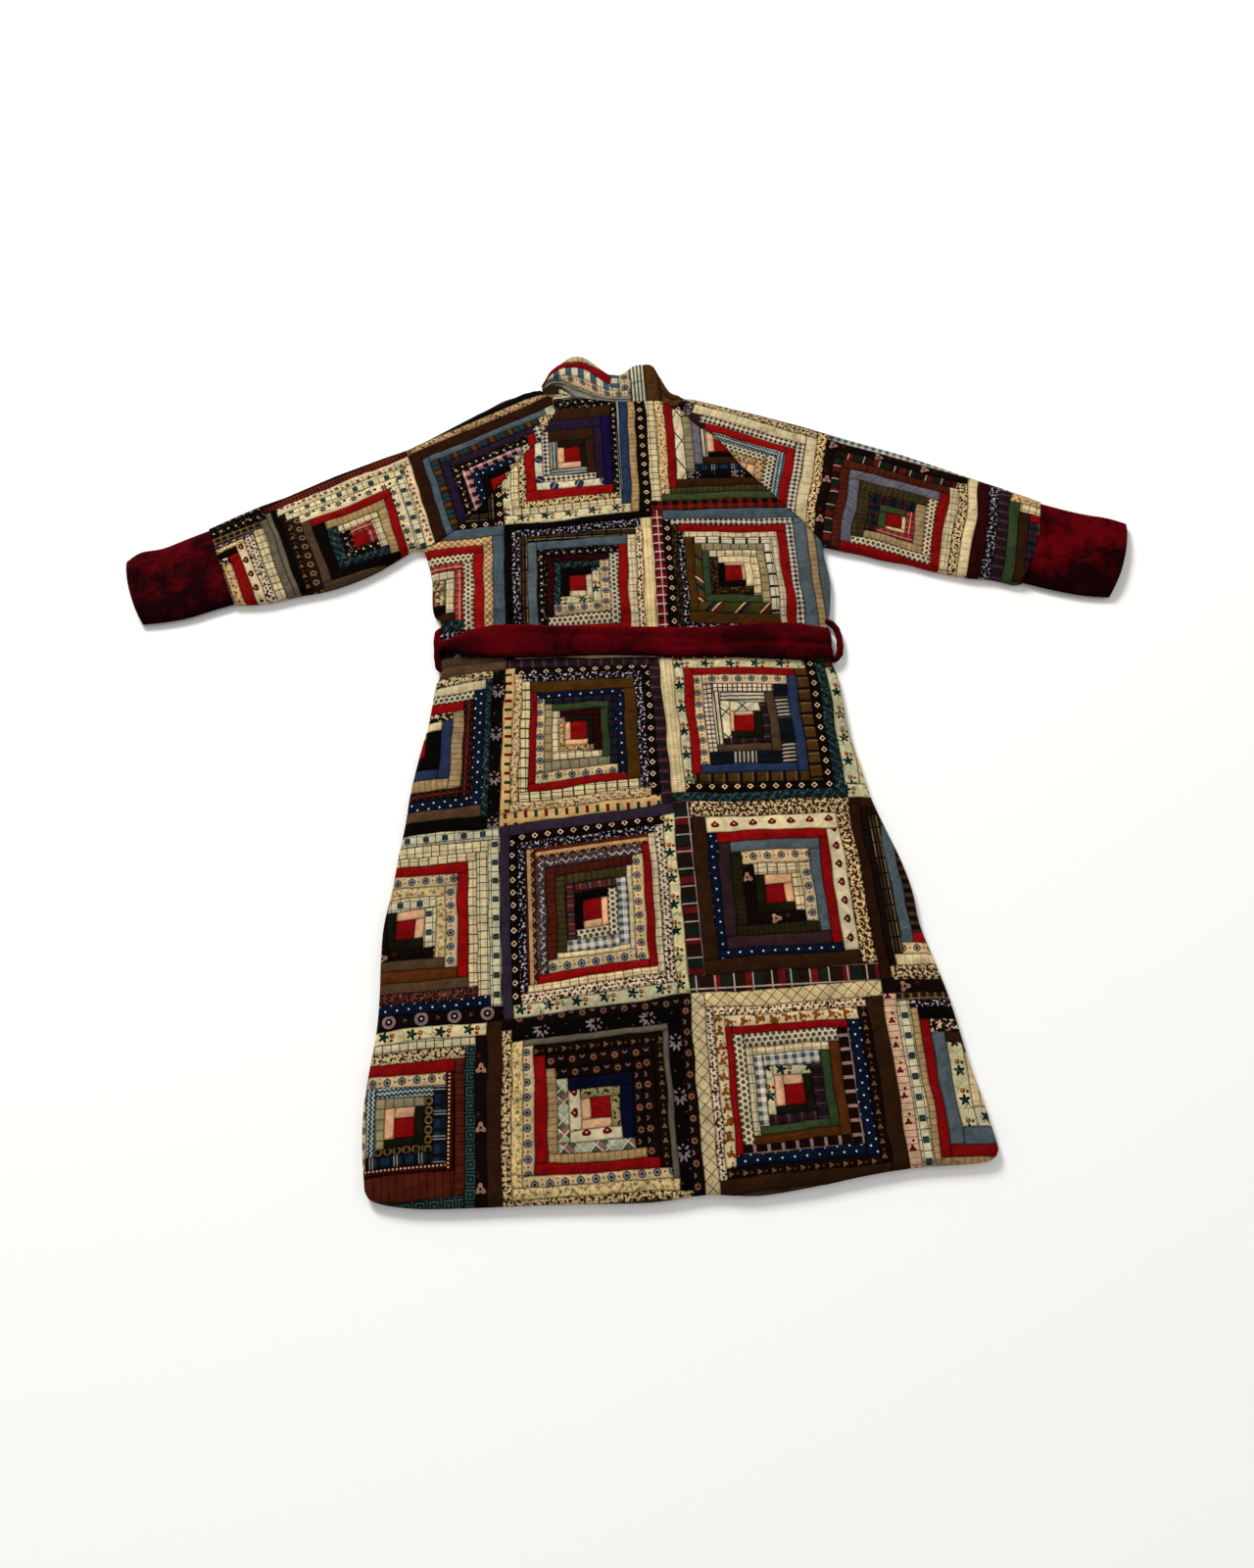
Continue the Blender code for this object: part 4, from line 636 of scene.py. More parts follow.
def ridges(points, table):
    """Height of the listed soft folds at each point."""
    height = np.zeros(len(points))
    for start, end, rise, width in table:
        a, run = np.array(start, dtype=float), np.array(end, dtype=float) - start
        size = float(run @ run)
        along = np.clip((points - a) @ run / size, 0.0, 1.0)
        bend = 0.14 * math.sqrt(size) * np.sin(3.0 * along + start[0])
        off = points - a - along[:, None] * run
        side = off @ np.array((-run[1], run[0])) / math.sqrt(size) - bend * along * (1 - along)
        away = np.hypot(side, np.abs(off @ run) / math.sqrt(size))
        height += rise * np.exp(-(away / width) ** 2) * np.sin(math.pi * (0.12 + 0.76 * along))
    return height


def waves(points, length, seed, count=5):
    """Unevenness with no pattern, mostly from -1 to 1 and about length mm from crest to crest."""
    random = np.random.default_rng(seed)
    total = np.zeros(len(points))
    for _ in range(count):
        angle, phase = random.uniform(0, 2 * math.pi, 2)
        stretch = random.uniform(0.7, 1.5)
        total += np.sin((points @ np.array((math.cos(angle), math.sin(angle)))) * 2 * math.pi
                        / (length * stretch) + phase)
    return total / count * 1.5


def outline_area(outline):
    """Area of a closed outline in square metres, below zero where it runs clockwise."""
    x, y = outline.T
    return float(np.sum(x * np.roll(y, -1) - np.roll(x, -1) * y)) / 2 * MM * MM


def back_outline():
    """Closed outline of the back, from the hem round by the right side and the neck."""
    runs = (rounded(HEM), SIDES["right"], SEWN["right"], SEWN["neck"], SEWN["left"], SIDES["left"])
    return np.vstack([run[:-1] for run in runs])


def half_outline(outline, sign, gap=0.2):
    """The part of a closed outline on one side of the centre front."""
    kept = []
    for a, b in zip(outline, np.roll(outline, -1, axis=0)):
        a_in, b_in = a[0] * sign > gap, b[0] * sign > gap
        if a_in:
            kept.append(a)
        if a_in != b_in:
            kept.append(a + (b - a) * (gap * sign - a[0]) / (b[0] - a[0]))
    return np.array(kept)


def sleeve_outline(side):
    """Closed outline of a sleeve from its raglan seam to its cuff."""
    wrist = wrist_line(side)
    if side == "left":
        runs = (SEWN["left"], SLEEVE_EDGES["left_under"][::-1], wrist[::-1],
                SLEEVE_EDGES["left_top"][::-1])
    else:
        runs = (SEWN["right"], SLEEVE_EDGES["right_top"], wrist, SLEEVE_EDGES["right_under"])
    return np.vstack([run[:-1] for run in runs])


def log_rectangles(order, first, second, differing, lean=(0.0, 0.0)):
    """Logs of one block, sewn round its centre patch, as shares of the block.

    lean says how far the patch stands from where the logs alone would put it, in mm."""
    chart = {side: [log.split(":") for log in differing.get(side, first if i < 2 else second).split()]
             for i, side in enumerate(order)}
    push = {"L": lean[0], "R": -lean[0], "B": lean[1], "T": -lean[1]}
    stretch = {side: 1.0 + push[side] / sum(float(width) for _, width in chart[side]) for side in order}
    half = CENTRE_PATCH / 2
    x0, y0, x1, y1 = -half, -half, half, half
    logs = [("red", x0, y0, x1, y1, True)]
    for ring in range(max(map(len, chart.values()))):
        for side in order:
            if ring >= len(chart[side]):
                continue
            cloth, width = chart[side][ring][0], float(chart[side][ring][1]) * stretch[side]
            if side == "L":
                logs.append((cloth, x0 - width, y0, x0, y1, False))
                x0 -= width
            elif side == "R":
                logs.append((cloth, x1, y0, x1 + width, y1, False))
                x1 += width
            elif side == "B":
                logs.append((cloth, x0, y0 - width, x1, y0, True))
                y0 -= width
            else:
                logs.append((cloth, x0, y1, x1, y1 + width, True))
                y1 += width
    return [(cloth, (a - x0) / (x1 - x0), (b - y0) / (y1 - y0), (c - x0) / (x1 - x0),
             (d - y0) / (y1 - y0), lying) for cloth, a, b, c, d, lying in logs]


class Patchwork:
    """Grid of points and faces that the blocks of one panel are gathered in.

    Each point has its distance to the nearest seam, half its log's width and the log's
    ripple there. Each log has its cloth and its chart: origin, run, side and tone."""

    def __init__(self, steps, seed):
        """steps divides each log, and seed gives its ripple, chart and tone."""
        self.steps = steps
        self.random = np.random.default_rng(seed)
        self.grid = {key: [] for key in ("points", "seam", "half", "ripple", "faces", "log")}
        self.cloths, self.charts = [], []
        self.count = 0

    def breaks(self, values):
        """Lines at every log's edge, and between them at the panel's steps."""
        values = sorted({round(value, 6) for value in values})
        return np.array([a + (b - a) * t for a, b in zip(values, values[1:]) for t in self.steps]
                        + [values[-1]])

    def add_block(self, corners, logs):
        """Lay one block's logs between its four corners, from low left round to high left."""
        low_left, low_right, high_right, high_left = (np.array(c, dtype=float) for c in corners)

        def place(s, t):
            """Points of the block at shares s across it and t up it."""
            s, t = np.asarray(s)[..., None], np.asarray(t)[..., None]
            return ((1 - s) * (1 - t) * low_left + s * (1 - t) * low_right
                    + s * t * high_right + (1 - s) * t * high_left)

        right = low_right - low_left + high_right - high_left
        up = high_left - low_left + high_right - low_right
        across, upward = np.linalg.norm(right) / 2, np.linalg.norm(up) / 2
        right, up = right / np.linalg.norm(right), up / np.linalg.norm(up)
        xs = self.breaks([edge for log in logs for edge in (log[1], log[3])])
        ys = self.breaks([edge for log in logs for edge in (log[2], log[4])])
        s, t = (g.ravel() for g in np.meshgrid(xs, ys))
        mid_s, mid_t = (g.ravel() for g in np.meshgrid((xs[1:] + xs[:-1]) / 2, (ys[1:] + ys[:-1]) / 2))
        seam, half, ripple = np.zeros(len(s)), np.ones(len(s)), np.zeros(len(s))
        log_of = np.zeros(len(mid_s), dtype=int)
        for k, (cloth, x0, y0, x1, y1, lying) in enumerate(logs):
            held = (s > x0 + 1e-7) & (s < x1 - 1e-7) & (t > y0 + 1e-7) & (t < y1 - 1e-7)
            seam[held] = np.minimum(np.minimum(s[held] - x0, x1 - s[held]) * across,
                                    np.minimum(t[held] - y0, y1 - t[held]) * upward)
            half[held] = min((x1 - x0) * across, (y1 - y0) * upward) / 2
            phase, pull = self.random.uniform(0, 6.28), self.random.uniform(0.15, 1.0)
            along = s[held] * across if lying else t[held] * upward
            ripple[held] = pull * np.sin(along / self.random.uniform(1.9, 2.9) + phase)
            log_of[(mid_s > x0) & (mid_s < x1) & (mid_t > y0) & (mid_t < y1)] = k
            run = right if lying else up
            side = np.array((-run[1], run[0]))
            shift = (run * self.random.uniform(0, 400)
                     + (up if lying else -right) * self.random.uniform(-1.5, 1.5))
            origin = place((x0 + x1) / 2, (y0 + y1) / 2) + shift
            self.charts.append((origin, run, side, self.random.uniform(-1, 1)))
        wide = len(xs)
        cell = (np.arange(len(ys) - 1)[:, None] * wide + np.arange(wide - 1)[None, :]).ravel()
        faces = np.stack([cell, cell + 1, cell + 1 + wide, cell + wide], axis=1) + self.count
        found = (place(s, t), seam, half, ripple, faces, log_of + len(self.cloths))
        for store, values in zip(self.grid.values(), found):
            store.append(values)
        self.cloths += [log[0] for log in logs]
        self.count += len(s)


def back_patchwork(steps, seed):
    """The back's blocks between the crossings of the lattice."""
    patch = Patchwork(steps, seed)
    for (row, column), block in BACK_BLOCKS.items():
        low, high = LATTICE[row], LATTICE[row + 1]
        patch.add_block((low[column], low[column + 1], high[column + 1], high[column]),
                        log_rectangles(*block, LEANS.get((row, column), (0, 0))))
    return patch


def sleeve_patchwork(side, steps, seed):
    """A sleeve's blocks, each with the strip of the next block over its upper edge."""
    patch = Patchwork(steps, seed)
    for (corners, order, first, second, over), lean in zip(SLEEVE_BLOCKS[side], SLEEVE_LEANS[side]):
        patch.add_block(corners, log_rectangles(order, first, second, {}, lean))
        cloth, width = over.split(":")
        low_left, low_right, high_right, high_left = (np.array(c, dtype=float) for c in corners)
        ends = [high + (high - low) / np.linalg.norm(high - low) * float(width)
                for low, high in ((low_left, high_left), (low_right, high_right))]
        share = OVER_LOG / float(width)
        patch.add_block((high_left, high_right, ends[1], ends[0]),
                        [(cloth, 0, 0, 1, share, True), ("black", 0, share, 1, 1, True)])
    return patch


def trimmed(patch, outline, wobble):
    """A patchwork cut to its outline, with its rim's points marked and every point's distance to it."""
    grid = {key: np.concatenate(values) for key, values in patch.grid.items()}
    points = grid["points"]
    points = points + wobble * (
        np.column_stack([waves(points, 70, 11), waves(points, 80, 12)])
        + 0.4 * np.column_stack([waves(points, 27, 13), waves(points, 31, 14)]))
    kept = within(points, outline)
    away, spot = nearest_on(points, np.vstack([outline, outline[:1]]))
    inside = kept[grid["faces"]].any(axis=1)
    faces = grid["faces"][inside]
    used = np.unique(faces)
    number = np.full(len(points), -1)
    number[used] = np.arange(len(used))
    cut = {key: grid[key][used] for key in ("seam", "half", "ripple")}
    cut["points"] = np.where(kept[:, None], points, spot)[used]
    cut["faces"], cut["log"] = number[faces], grid["log"][inside]
    cut["rim"], cut["to_rim"] = ~kept[used], np.where(kept, away, 0.0)[used]
    return cut


def top_level(points, sizes):
    """Top of the upper layer at its seams, with each point's distance to an edge and to the belt."""
    edge = np.min([nearest_on(points, line)[0] for line in OPEN_EDGES], axis=0)
    folds = ridges(points, FOLDS) + ridges(points, CREASES)
    folds = (folds + 0.5 * waves(points, 95, 3) + 0.22 * waves(points, 34, 4)) * sizes.fold_height
    folds *= smooth_step((edge - 2.0) / 18.0)
    high = UPPER_LOW + WALL + LOFT * (1.0 - np.exp(-edge / LOFT_REACH)) + folds
    upper, lower = belt_edges(points[:, 0])
    outside = np.maximum(points[:, 1] - upper, lower - points[:, 1]) - BELT_MARGIN
    pressed = BELT_BASE - 0.3
    body = on_body(points)
    held = pressed + (high - pressed) * smooth_step(outside / PRESS_REACH)
    high = np.where(body, held, high)
    turned = 1.0 - np.clip(edge / (sizes.edge_roll / MM), 0, 1)
    drop = EDGE_DROP * (1.0 - np.sqrt(1.0 - turned ** 2))
    drop = np.where(body & (outside < 0), drop * smooth_step((outside + 30.0) / 30.0), drop)
    return np.maximum(high - drop, UPPER_LOW + EDGE_LEAST), edge, np.where(body, outside, 99.0)


def upper_heights(cut, sizes):
    """Heights of a half that faces up: logs puffed between their seams, rolled off at the edges."""
    points = cut["points"]
    level, edge, outside = top_level(points, sizes)
    puff = 1.0 - (1.0 - np.clip(cut["seam"] / np.minimum(cut["half"], PUFF_REACH), 0, 1)) ** 2.2
    relief = (sizes.log_rise * puff + sizes.pucker * cut["ripple"] * puff) / MM
    free = smooth_step(edge / (sizes.edge_roll / MM)) * smooth_step(outside / 8.0)
    return level + (relief + 0.16 * waves(points, 13, 21, 7)) * free


def lower_heights(cut):
    """Heights of a half that lies on the surface: flat, with a way for the belt, and round edges."""
    points = cut["points"]
    channel = np.abs(points[:, 1] - belt_middle(points[:, 0])) - BELT_UNDER_WIDE / 2
    under = BELT_WAY * (1 - smooth_step((channel - 0.8) / 5.0)) * on_body(points)
    return under + EDGE_LEAST * (1 - smooth_step(cut["to_rim"] / 4.0))


def rim_walls(faces, rim):
    """Quads hung from the rim to new points, the rim's points in use and the face beside each quad."""
    directed = np.concatenate([faces[:, [k, (k + 1) % 4]] for k in range(4)])
    owner = np.tile(np.arange(len(faces)), 4)
    _, first, counts = np.unique(np.sort(directed, axis=1), axis=0, return_index=True,
                                 return_counts=True)
    border = first[counts == 1]
    border = border[rim[directed[border]].all(axis=1)]
    border = border[directed[border][:, 0] != directed[border][:, 1]]
    tops = np.unique(directed[border])
    down = np.full(len(rim), -1)
    down[tops] = len(rim) + np.arange(len(tops))
    a, b = directed[border].T
    return np.stack([b, a, down[a], down[b]], axis=1), tops, owner[border]


def quilt_panel(name, patch, outline, sizes, sewn=(), lower=False):
    """Trim a patchwork to its outline, pad it, roll its edges and close it below.

    lower is for a half that lies on the surface with its patchwork downwards."""
    cut = trimmed(patch, outline, sizes.wobble / MM)
    for line in sewn:
        cut["seam"] = np.minimum(cut["seam"], nearest_on(cut["points"], line)[0])
    heights = lower_heights(cut) if lower else upper_heights(cut, sizes)
    walls, tops, beside = rim_walls(cut["faces"], cut["rim"])
    points = np.vstack([cut["points"], cut["points"][tops], outline])
    far = np.full(len(tops) + len(outline), FRONT_TOP if lower else UPPER_LOW)
    levels = np.concatenate([heights, far])
    quads = np.vstack([cut["faces"], walls])
    inner = np.arange(len(outline)) + len(heights) + len(tops)
    if (outline_area(outline) > 0) != lower:
        inner = inner[::-1]
    if lower:
        quads = quads[:, ::-1]
    logs = np.concatenate([cut["log"], cut["log"][beside]])
    origin, run, side = (np.array([chart[k] for chart in patch.charts])[logs][:, None] for k in range(3))
    hung = (np.arange(len(quads)) >= len(cut["faces"]))[:, None]
    shifted = points[quads] - origin
    uv = np.stack([(shifted * run).sum(-1),
                   (shifted * side).sum(-1) + (levels[quads] - heights.mean()) * hung], axis=-1)
    tone = np.array([chart[3] for chart in patch.charts])[logs]
    seam = np.concatenate([cut["seam"], np.full(len(tops), 2.0), np.full(len(outline), 3.0)])
    return fabric_mesh(name, points, levels, list(quads) + [inner],
                       [patch.cloths[k] for k in logs] + [LINING_CLOTH],
                       np.vstack([uv.reshape(-1, 2), points[inner]]), np.append(tone, 0.0),
                       np.clip(seam, 0, 4))


def fabric_mesh(name, points, heights, faces, cloth_of, uv_of, tone, seam):
    """Mesh object from points in the tables' plane, with its cloths and their charts."""
    mesh = bpy.data.meshes.new(name)
    coords = np.column_stack([(points + TO_ROW) * MM, heights * MM])
    sizes = np.array([len(f) for f in faces])
    corner = np.concatenate([np.asarray(f) for f in faces])
    mesh.vertices.add(len(coords))
    mesh.loops.add(len(corner))
    mesh.polygons.add(len(faces))
    used = sorted(set(cloth_of))
    for cloth in used:
        mesh.materials.append(calico(cloth))
    slot = {cloth: i for i, cloth in enumerate(used)}
    mesh.vertices.foreach_set("co", coords.ravel())
    mesh.loops.foreach_set("vertex_index", corner)
    mesh.polygons.foreach_set("loop_start", np.concatenate([[0], np.cumsum(sizes)[:-1]]))
    mesh.polygons.foreach_set("loop_total", sizes)
    mesh.polygons.foreach_set("material_index", [slot[cloth] for cloth in cloth_of])
    mesh.polygons.foreach_set("use_smooth", [True] * len(faces))
    mesh.uv_layers.new(name="Cloth").data.foreach_set("uv", uv_of.ravel())
    mesh.attributes.new("tone", "FLOAT", "FACE").data.foreach_set("value", tone)
    mesh.attributes.new("seam", "FLOAT", "POINT").data.foreach_set("value", seam)
    mesh.update()
    mesh.validate()
    made = bpy.data.objects.new(name, mesh)
    bpy.context.scene.collection.objects.link(made)
    return made


def skin(name, rings, material, inner=None):
    """Closed skin between like rings, or a tube with an inner skin."""
    coords = np.asarray(rings, dtype=float)
    count, per = coords.shape[:2]
    index = np.arange(count * per).reshape(count, per)

    def between(a, b):
        """Quads between two like rings."""
        return np.stack([a, np.roll(a, -1, axis=-1), np.roll(b, -1, axis=-1), b], axis=-1).reshape(-1, 4)

    faces = between(index[:-1], index[1:]).tolist()
    if inner is None:
        faces += [index[0][::-1].tolist(), index[-1].tolist()]
    else:
        coords = np.stack([coords, np.asarray(inner, dtype=float)])
        hollow = index + count * per
        faces += between(hollow[:-1], hollow[1:])[:, ::-1].tolist()
        faces += between(index[0], hollow[0])[:, ::-1].tolist()
        faces += between(index[-1], hollow[-1]).tolist()
    coords = coords.reshape(-1, 3) + (*TO_ROW, 0.0)
    mesh = bpy.data.meshes.new(name)
    mesh.from_pydata((coords * MM).tolist(), [], faces)
    mesh.materials.append(material)
    mesh.polygons.foreach_set("use_smooth", [True] * len(mesh.polygons))
    mesh.update()
    made = bpy.data.objects.new(name, mesh)
    bpy.context.scene.collection.objects.link(made)
    return made


def linear(code):
    """sRGB hex value as linear red, green, blue and alpha."""
    parts = [int(code[i:i + 2], 16) / 255 for i in (0, 2, 4)]
    return tuple(c / 12.92 if c <= 0.04045 else ((c + 0.055) / 1.055) ** 2.4 for c in parts) + (1.0,)


def add(tree, kind, *values, inputs=None, out=0, **settings):
    """Add a node with its settings and its links or values, and give one output.

    values fill its inputs in order, and inputs those that it names or numbers."""
    made = tree.nodes.new("ShaderNode" + kind)
    for key, value in settings.items():
        setattr(made, key, value)
    for key, value in [*enumerate(values), *(inputs or {}).items()]:
        if isinstance(value, bpy.types.NodeSocket):
            tree.links.new(value, made.inputs[key])
        else:
            made.inputs[key].default_value = value
    return made.outputs[out]


def band(tree, value, repeat, size, shift=0.0):
    """Mask of bands, one in each repeat."""
    share = add(tree, "Math", value, 1.0 / repeat, shift, operation="MULTIPLY_ADD")
    part = add(tree, "Math", share, operation="FRACT")
    return add(tree, "Math", part, size / repeat, operation="LESS_THAN")


def figure(tree, chart, kind, repeat, size=0.0, *more):
    """Mask of one printed or woven figure, from its repeat and size in millimetres."""
    if kind == "slant":
        turned = add(tree, "Mapping", inputs={"Vector": chart, "Rotation": (0, 0, math.radians(more[0]))})
        return band(tree, add(tree, "SeparateXYZ", turned), repeat, size)
    if kind in ("specks", "vines"):
        # a random print: blots above a level, or lines along one
        noise = add(tree, "TexNoise", inputs={"Vector": chart, "Scale": 1.0 / repeat, "Detail": 1.0,
                                              "Roughness": 0.5}, noise_dimensions="2D")
        if kind == "specks":
            return add(tree, "Math", noise, size, operation="GREATER_THAN")
        return add(tree, "Math", noise, 0.5, size, operation="COMPARE")
    x, y = (add(tree, "SeparateXYZ", chart, out=axis) for axis in (0, 1))
    if kind == "bars":
        along, shift = (more + (0.0,))[:2]
        return band(tree, x if along else y, repeat, size, shift + 0.5 * size / repeat)
    if kind == "check":
        ways = [band(tree, value, repeat, repeat / 2) for value in (x, y)]
        return add(tree, "Math", add(tree, "Math", *ways, operation="ADD"), 0.5, operation="MULTIPLY")
    if kind == "zigzag":
        fold = add(tree, "Math", x, repeat / 2, operation="PINGPONG")
        return band(tree, add(tree, "Math", y, fold, operation="ADD"), repeat, size)
    # the rest stand in rows, each row half a repeat further along than the last
    row, shift, lift, lobes = (more + (repeat / 2, 0.0, 0.0, 5)[len(more):])[:4]
    rows = add(tree, "Math", y, 1.0 / row, 0.5 - lift / row, operation="MULTIPLY_ADD")
    row_number = add(tree, "Math", rows, operation="FLOOR")
    start = add(tree, "Math", row_number, 0.5, -shift / repeat, operation="MULTIPLY_ADD")
    places = add(tree, "Math", x, 1.0 / repeat, start, operation="MULTIPLY_ADD")
    u, v = (add(tree, "Math", add(tree, "Math", value, operation="FRACT"), size_of, -size_of / 2,
                operation="MULTIPLY_ADD") for value, size_of in ((places, repeat), (rows, row)))
    if kind in ("squares", "key", "diamonds"):
        sides = [add(tree, "Math", value, operation="ABSOLUTE") for value in (u, v)]
        away = add(tree, "Math", *sides, operation="ADD" if kind == "diamonds" else "MAXIMUM")
    else:
        away = add(tree, "VectorMath", add(tree, "CombineXYZ", u, v), out="Value", operation="LENGTH")
    if kind == "key":
        return band(tree, away, 2 * size, size)
    if kind == "rings":
        return add(tree, "Math", away, size / 2, lobes / 2, operation="COMPARE")
    if kind == "petals":
        turn = add(tree, "Math", v, u, operation="ARCTAN2")
        waved = add(tree, "Math", add(tree, "Math", turn, float(lobes), operation="MULTIPLY"),
                    operation="COSINE")
        reach = add(tree, "Math", waved, size * 0.13, size * 0.37, operation="MULTIPLY_ADD")
        return add(tree, "Math", away, reach, operation="LESS_THAN")
    return add(tree, "Math", away, size / 2, operation="LESS_THAN")


def surface(tree, colour, height, strength, values):
    """Give the shader its colour, its bump and the values of its other sockets."""
    shader = tree.nodes["Principled BSDF"]
    bump = add(tree, "Bump", inputs={"Height": height, "Strength": strength, "Distance": 0.0007})
    tree.links.new(colour, shader.inputs["Base Color"])
    tree.links.new(bump, shader.inputs["Normal"])
    for name, value in values.items():
        shader.inputs[name].default_value = value


def calico(name):
    """Plain woven printed cotton: matt, a little faded, with a fine thread that shows close up."""
    made = bpy.data.materials.get("calico_" + name)
    if made:
        return made
    made = bpy.data.materials.new("calico_" + name)
    made.use_nodes = True
    tree = made.node_tree
    ground, figures = CLOTHS[name]
    chart = add(tree, "UVMap", uv_map="Cloth")
    colour = add(tree, "RGB")
    colour.default_value = linear(ground)
    for kind, dye, *measures in figures:
        mask = figure(tree, chart, kind, *measures)
        colour = add(tree, "Mix", inputs={0: mask, 6: colour, 7: linear(dye)}, out=2, data_type="RGBA")
    place = add(tree, "TexCoord", out="Object")
    crumple = add(tree, "TexNoise", inputs={"Vector": place, "Scale": 62.0, "Detail": 4.0,
                                            "Roughness": 0.62, "Distortion": 0.8})
    # threads 0.5 mm apart in life are drawn 1.1 mm apart, so that they show in the render
    warp, weft = (add(tree, "Math", add(tree, "SeparateXYZ", chart, out=axis), THREAD / 2,
                      operation="PINGPONG") for axis in (0, 1))
    weave = add(tree, "Math", warp, weft, operation="ADD")
    height = add(tree, "Math", crumple, 9.0, weave, operation="MULTIPLY_ADD")
    # the colour carries painted shade in the crumples and a painted shadow along the seams
    surface(tree, dye_wear_and_shade(tree, place, crumple, colour), height, 1.0,
            {"Roughness": 0.9, "Specular IOR Level": 0.015, "Sheen Weight": 0.008,
             "Sheen Roughness": 0.6, "Sheen Tint": linear("C8B090")})
    return made


def dye_wear_and_shade(tree, place, crumple, colour):
    """A cotton's colour with its log's tone, its wear, painted shade in its crumples and a painted shadow
    along its seams, which are a little soiled too.
    """
    wear = bpy.context.scene.coat_colours.wear
    tone = add(tree, "Attribute", out="Fac", attribute_name="tone")
    seam = add(tree, "Attribute", out="Fac", attribute_name="seam")
    # hand printing and washing leave the dye uneven over a few centimetres
    patchy = add(tree, "TexNoise", inputs={"Vector": place, "Scale": 22.0, "Detail": 3.0,
                                           "Roughness": 0.6})
    bright = add(tree, "Math", tone, 0.11, 0.98, operation="MULTIPLY_ADD")
    cloud = add(tree, "MapRange", patchy, 0.3, 0.7, 1.0 - wear, 1.0 + wear)
    # painted shade: the crumple noise that bumps the cloth also darkens the colour in its hollows
    crumple_shade = add(tree, "MapRange", crumple, 0.32, 0.6, 0.68, 1.12)
    # seams get a painted shadow and are a little soiled, wider in some places than in others
    uneven = add(tree, "Math", crumple, -1.8, seam, operation="MULTIPLY_ADD")
    crease = add(tree, "MapRange", uneven, -0.9, 0.9, 0.3, 1.0, interpolation_type="SMOOTHSTEP")
    total = bright
    for share in (cloud, crumple_shade, crease):
        total = add(tree, "Math", total, share, operation="MULTIPLY")
    shaded = add(tree, "VectorMath", colour, inputs={"Scale": total}, operation="SCALE")
    # one log has yellowed and the next has greyed
    aged = add(tree, "MapRange", inputs={"Vector": add(tree, "CombineXYZ", tone, tone, tone),
                                         7: (-1.0, -1.0, -1.0), 8: (1.0, 1.0, 1.0),
                                         9: (0.95, 1.0, 1.06), 10: (1.05, 1.0, 0.9)},
               out=1, data_type="FLOAT_VECTOR")
    return add(tree, "VectorMath", shaded, aged, operation="MULTIPLY")


def velvet(name, least, most):
    """Crushed cotton velvet mixed from a shaded and a lit colour: nearly black along its nap and crimson
    where the pile is laid over, partly its crushed pile and partly painted light, and painted lighter
    where it faces the neck end and the key light.

    least and most are the shares of its light side that show."""
    made = bpy.data.materials.get(name)
    if made:
        return made
    colours = bpy.context.scene.coat_colours
    made = bpy.data.materials.new(name)
    made.use_nodes = True
    tree = made.node_tree
    place = add(tree, "TexCoord", out="Object")
    crush = add(tree, "TexNoise", inputs={"Vector": place, "Scale": 34.0, "Detail": 6.0,
                                          "Roughness": 0.66, "Distortion": 0.5})
    pile = add(tree, "TexNoise", inputs={"Vector": place, "Scale": 540.0, "Detail": 2.0,
                                         "Roughness": 0.7})
    drift = add(tree, "TexNoise", inputs={"Vector": place, "Scale": 11.0, "Detail": 1.0})
    crushed = add(tree, "Math", crush, drift, operation="ADD")
    nap = add(tree, "MapRange", crushed, 0.84, 1.22, least, most)
    # painted light: faces turned to the neck end, where the key light stands, are painted lighter
    key_light_facing = add(tree, "SeparateXYZ", add(tree, "NewGeometry", out="Normal"), out=1)
    nap = add(tree, "Math", key_light_facing, 0.9, nap, operation="MULTIPLY_ADD")
    tufts = add(tree, "MapRange", pile, 0.35, 0.7, -0.2, 0.2)
    share = add(tree, "Math", nap, tufts, operation="ADD", use_clamp=True)
    colour = add(tree, "Mix", inputs={0: share, 6: tuple(colours.velvet_dark),
                                      7: tuple(colours.velvet_light)}, out=2, data_type="RGBA")
    height = add(tree, "Math", crush, 4.0, pile, operation="MULTIPLY_ADD")
    surface(tree, colour, height, 0.7, {"Roughness": 0.85, "Specular IOR Level": 0.02,
                                        "Sheen Weight": 0.06, "Sheen Roughness": 0.3,
                                        "Sheen Tint": linear("A00812")})
    return made


def lay(piece, node):
    """Hide the model's node that a piece stands for, and hang the piece from the root body where it
    already lies.
    """
    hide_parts(node)
    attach(piece, "root")


def millimetres(name, description, default, least, most):
    """A length that the user sets, given here in mm."""
    return bpy.props.FloatProperty(name=name, description=description, default=default * MM,
                                   min=least * MM, max=most * MM, precision=4, subtype="DISTANCE")


class CoatSizes(bpy.types.PropertyGroup):
    """Sizes of the padding and folds."""

    log_rise: millimetres("Log rise", "Height of a padded log", 1.1, 0.0, 4.0)
    pucker: millimetres("Pucker", "Ripple along a log", 0.5, 0.0, 1.0)
    fold_height: bpy.props.FloatProperty(name="Folds", description="Share of the soft folds' height",
                                         default=1.0, min=0.0, max=2.0, subtype="FACTOR")
    wobble: millimetres("Wobble", "Unevenness of the seams", 1.5, 0.0, 5.0)
    edge_roll: millimetres("Edge roll", "Rounding along open edges", 8.0, 2.0, 20.0)
    belt_thick: millimetres("Belt", "Thickness of the belt", 6.0, 3.0, 8.0)


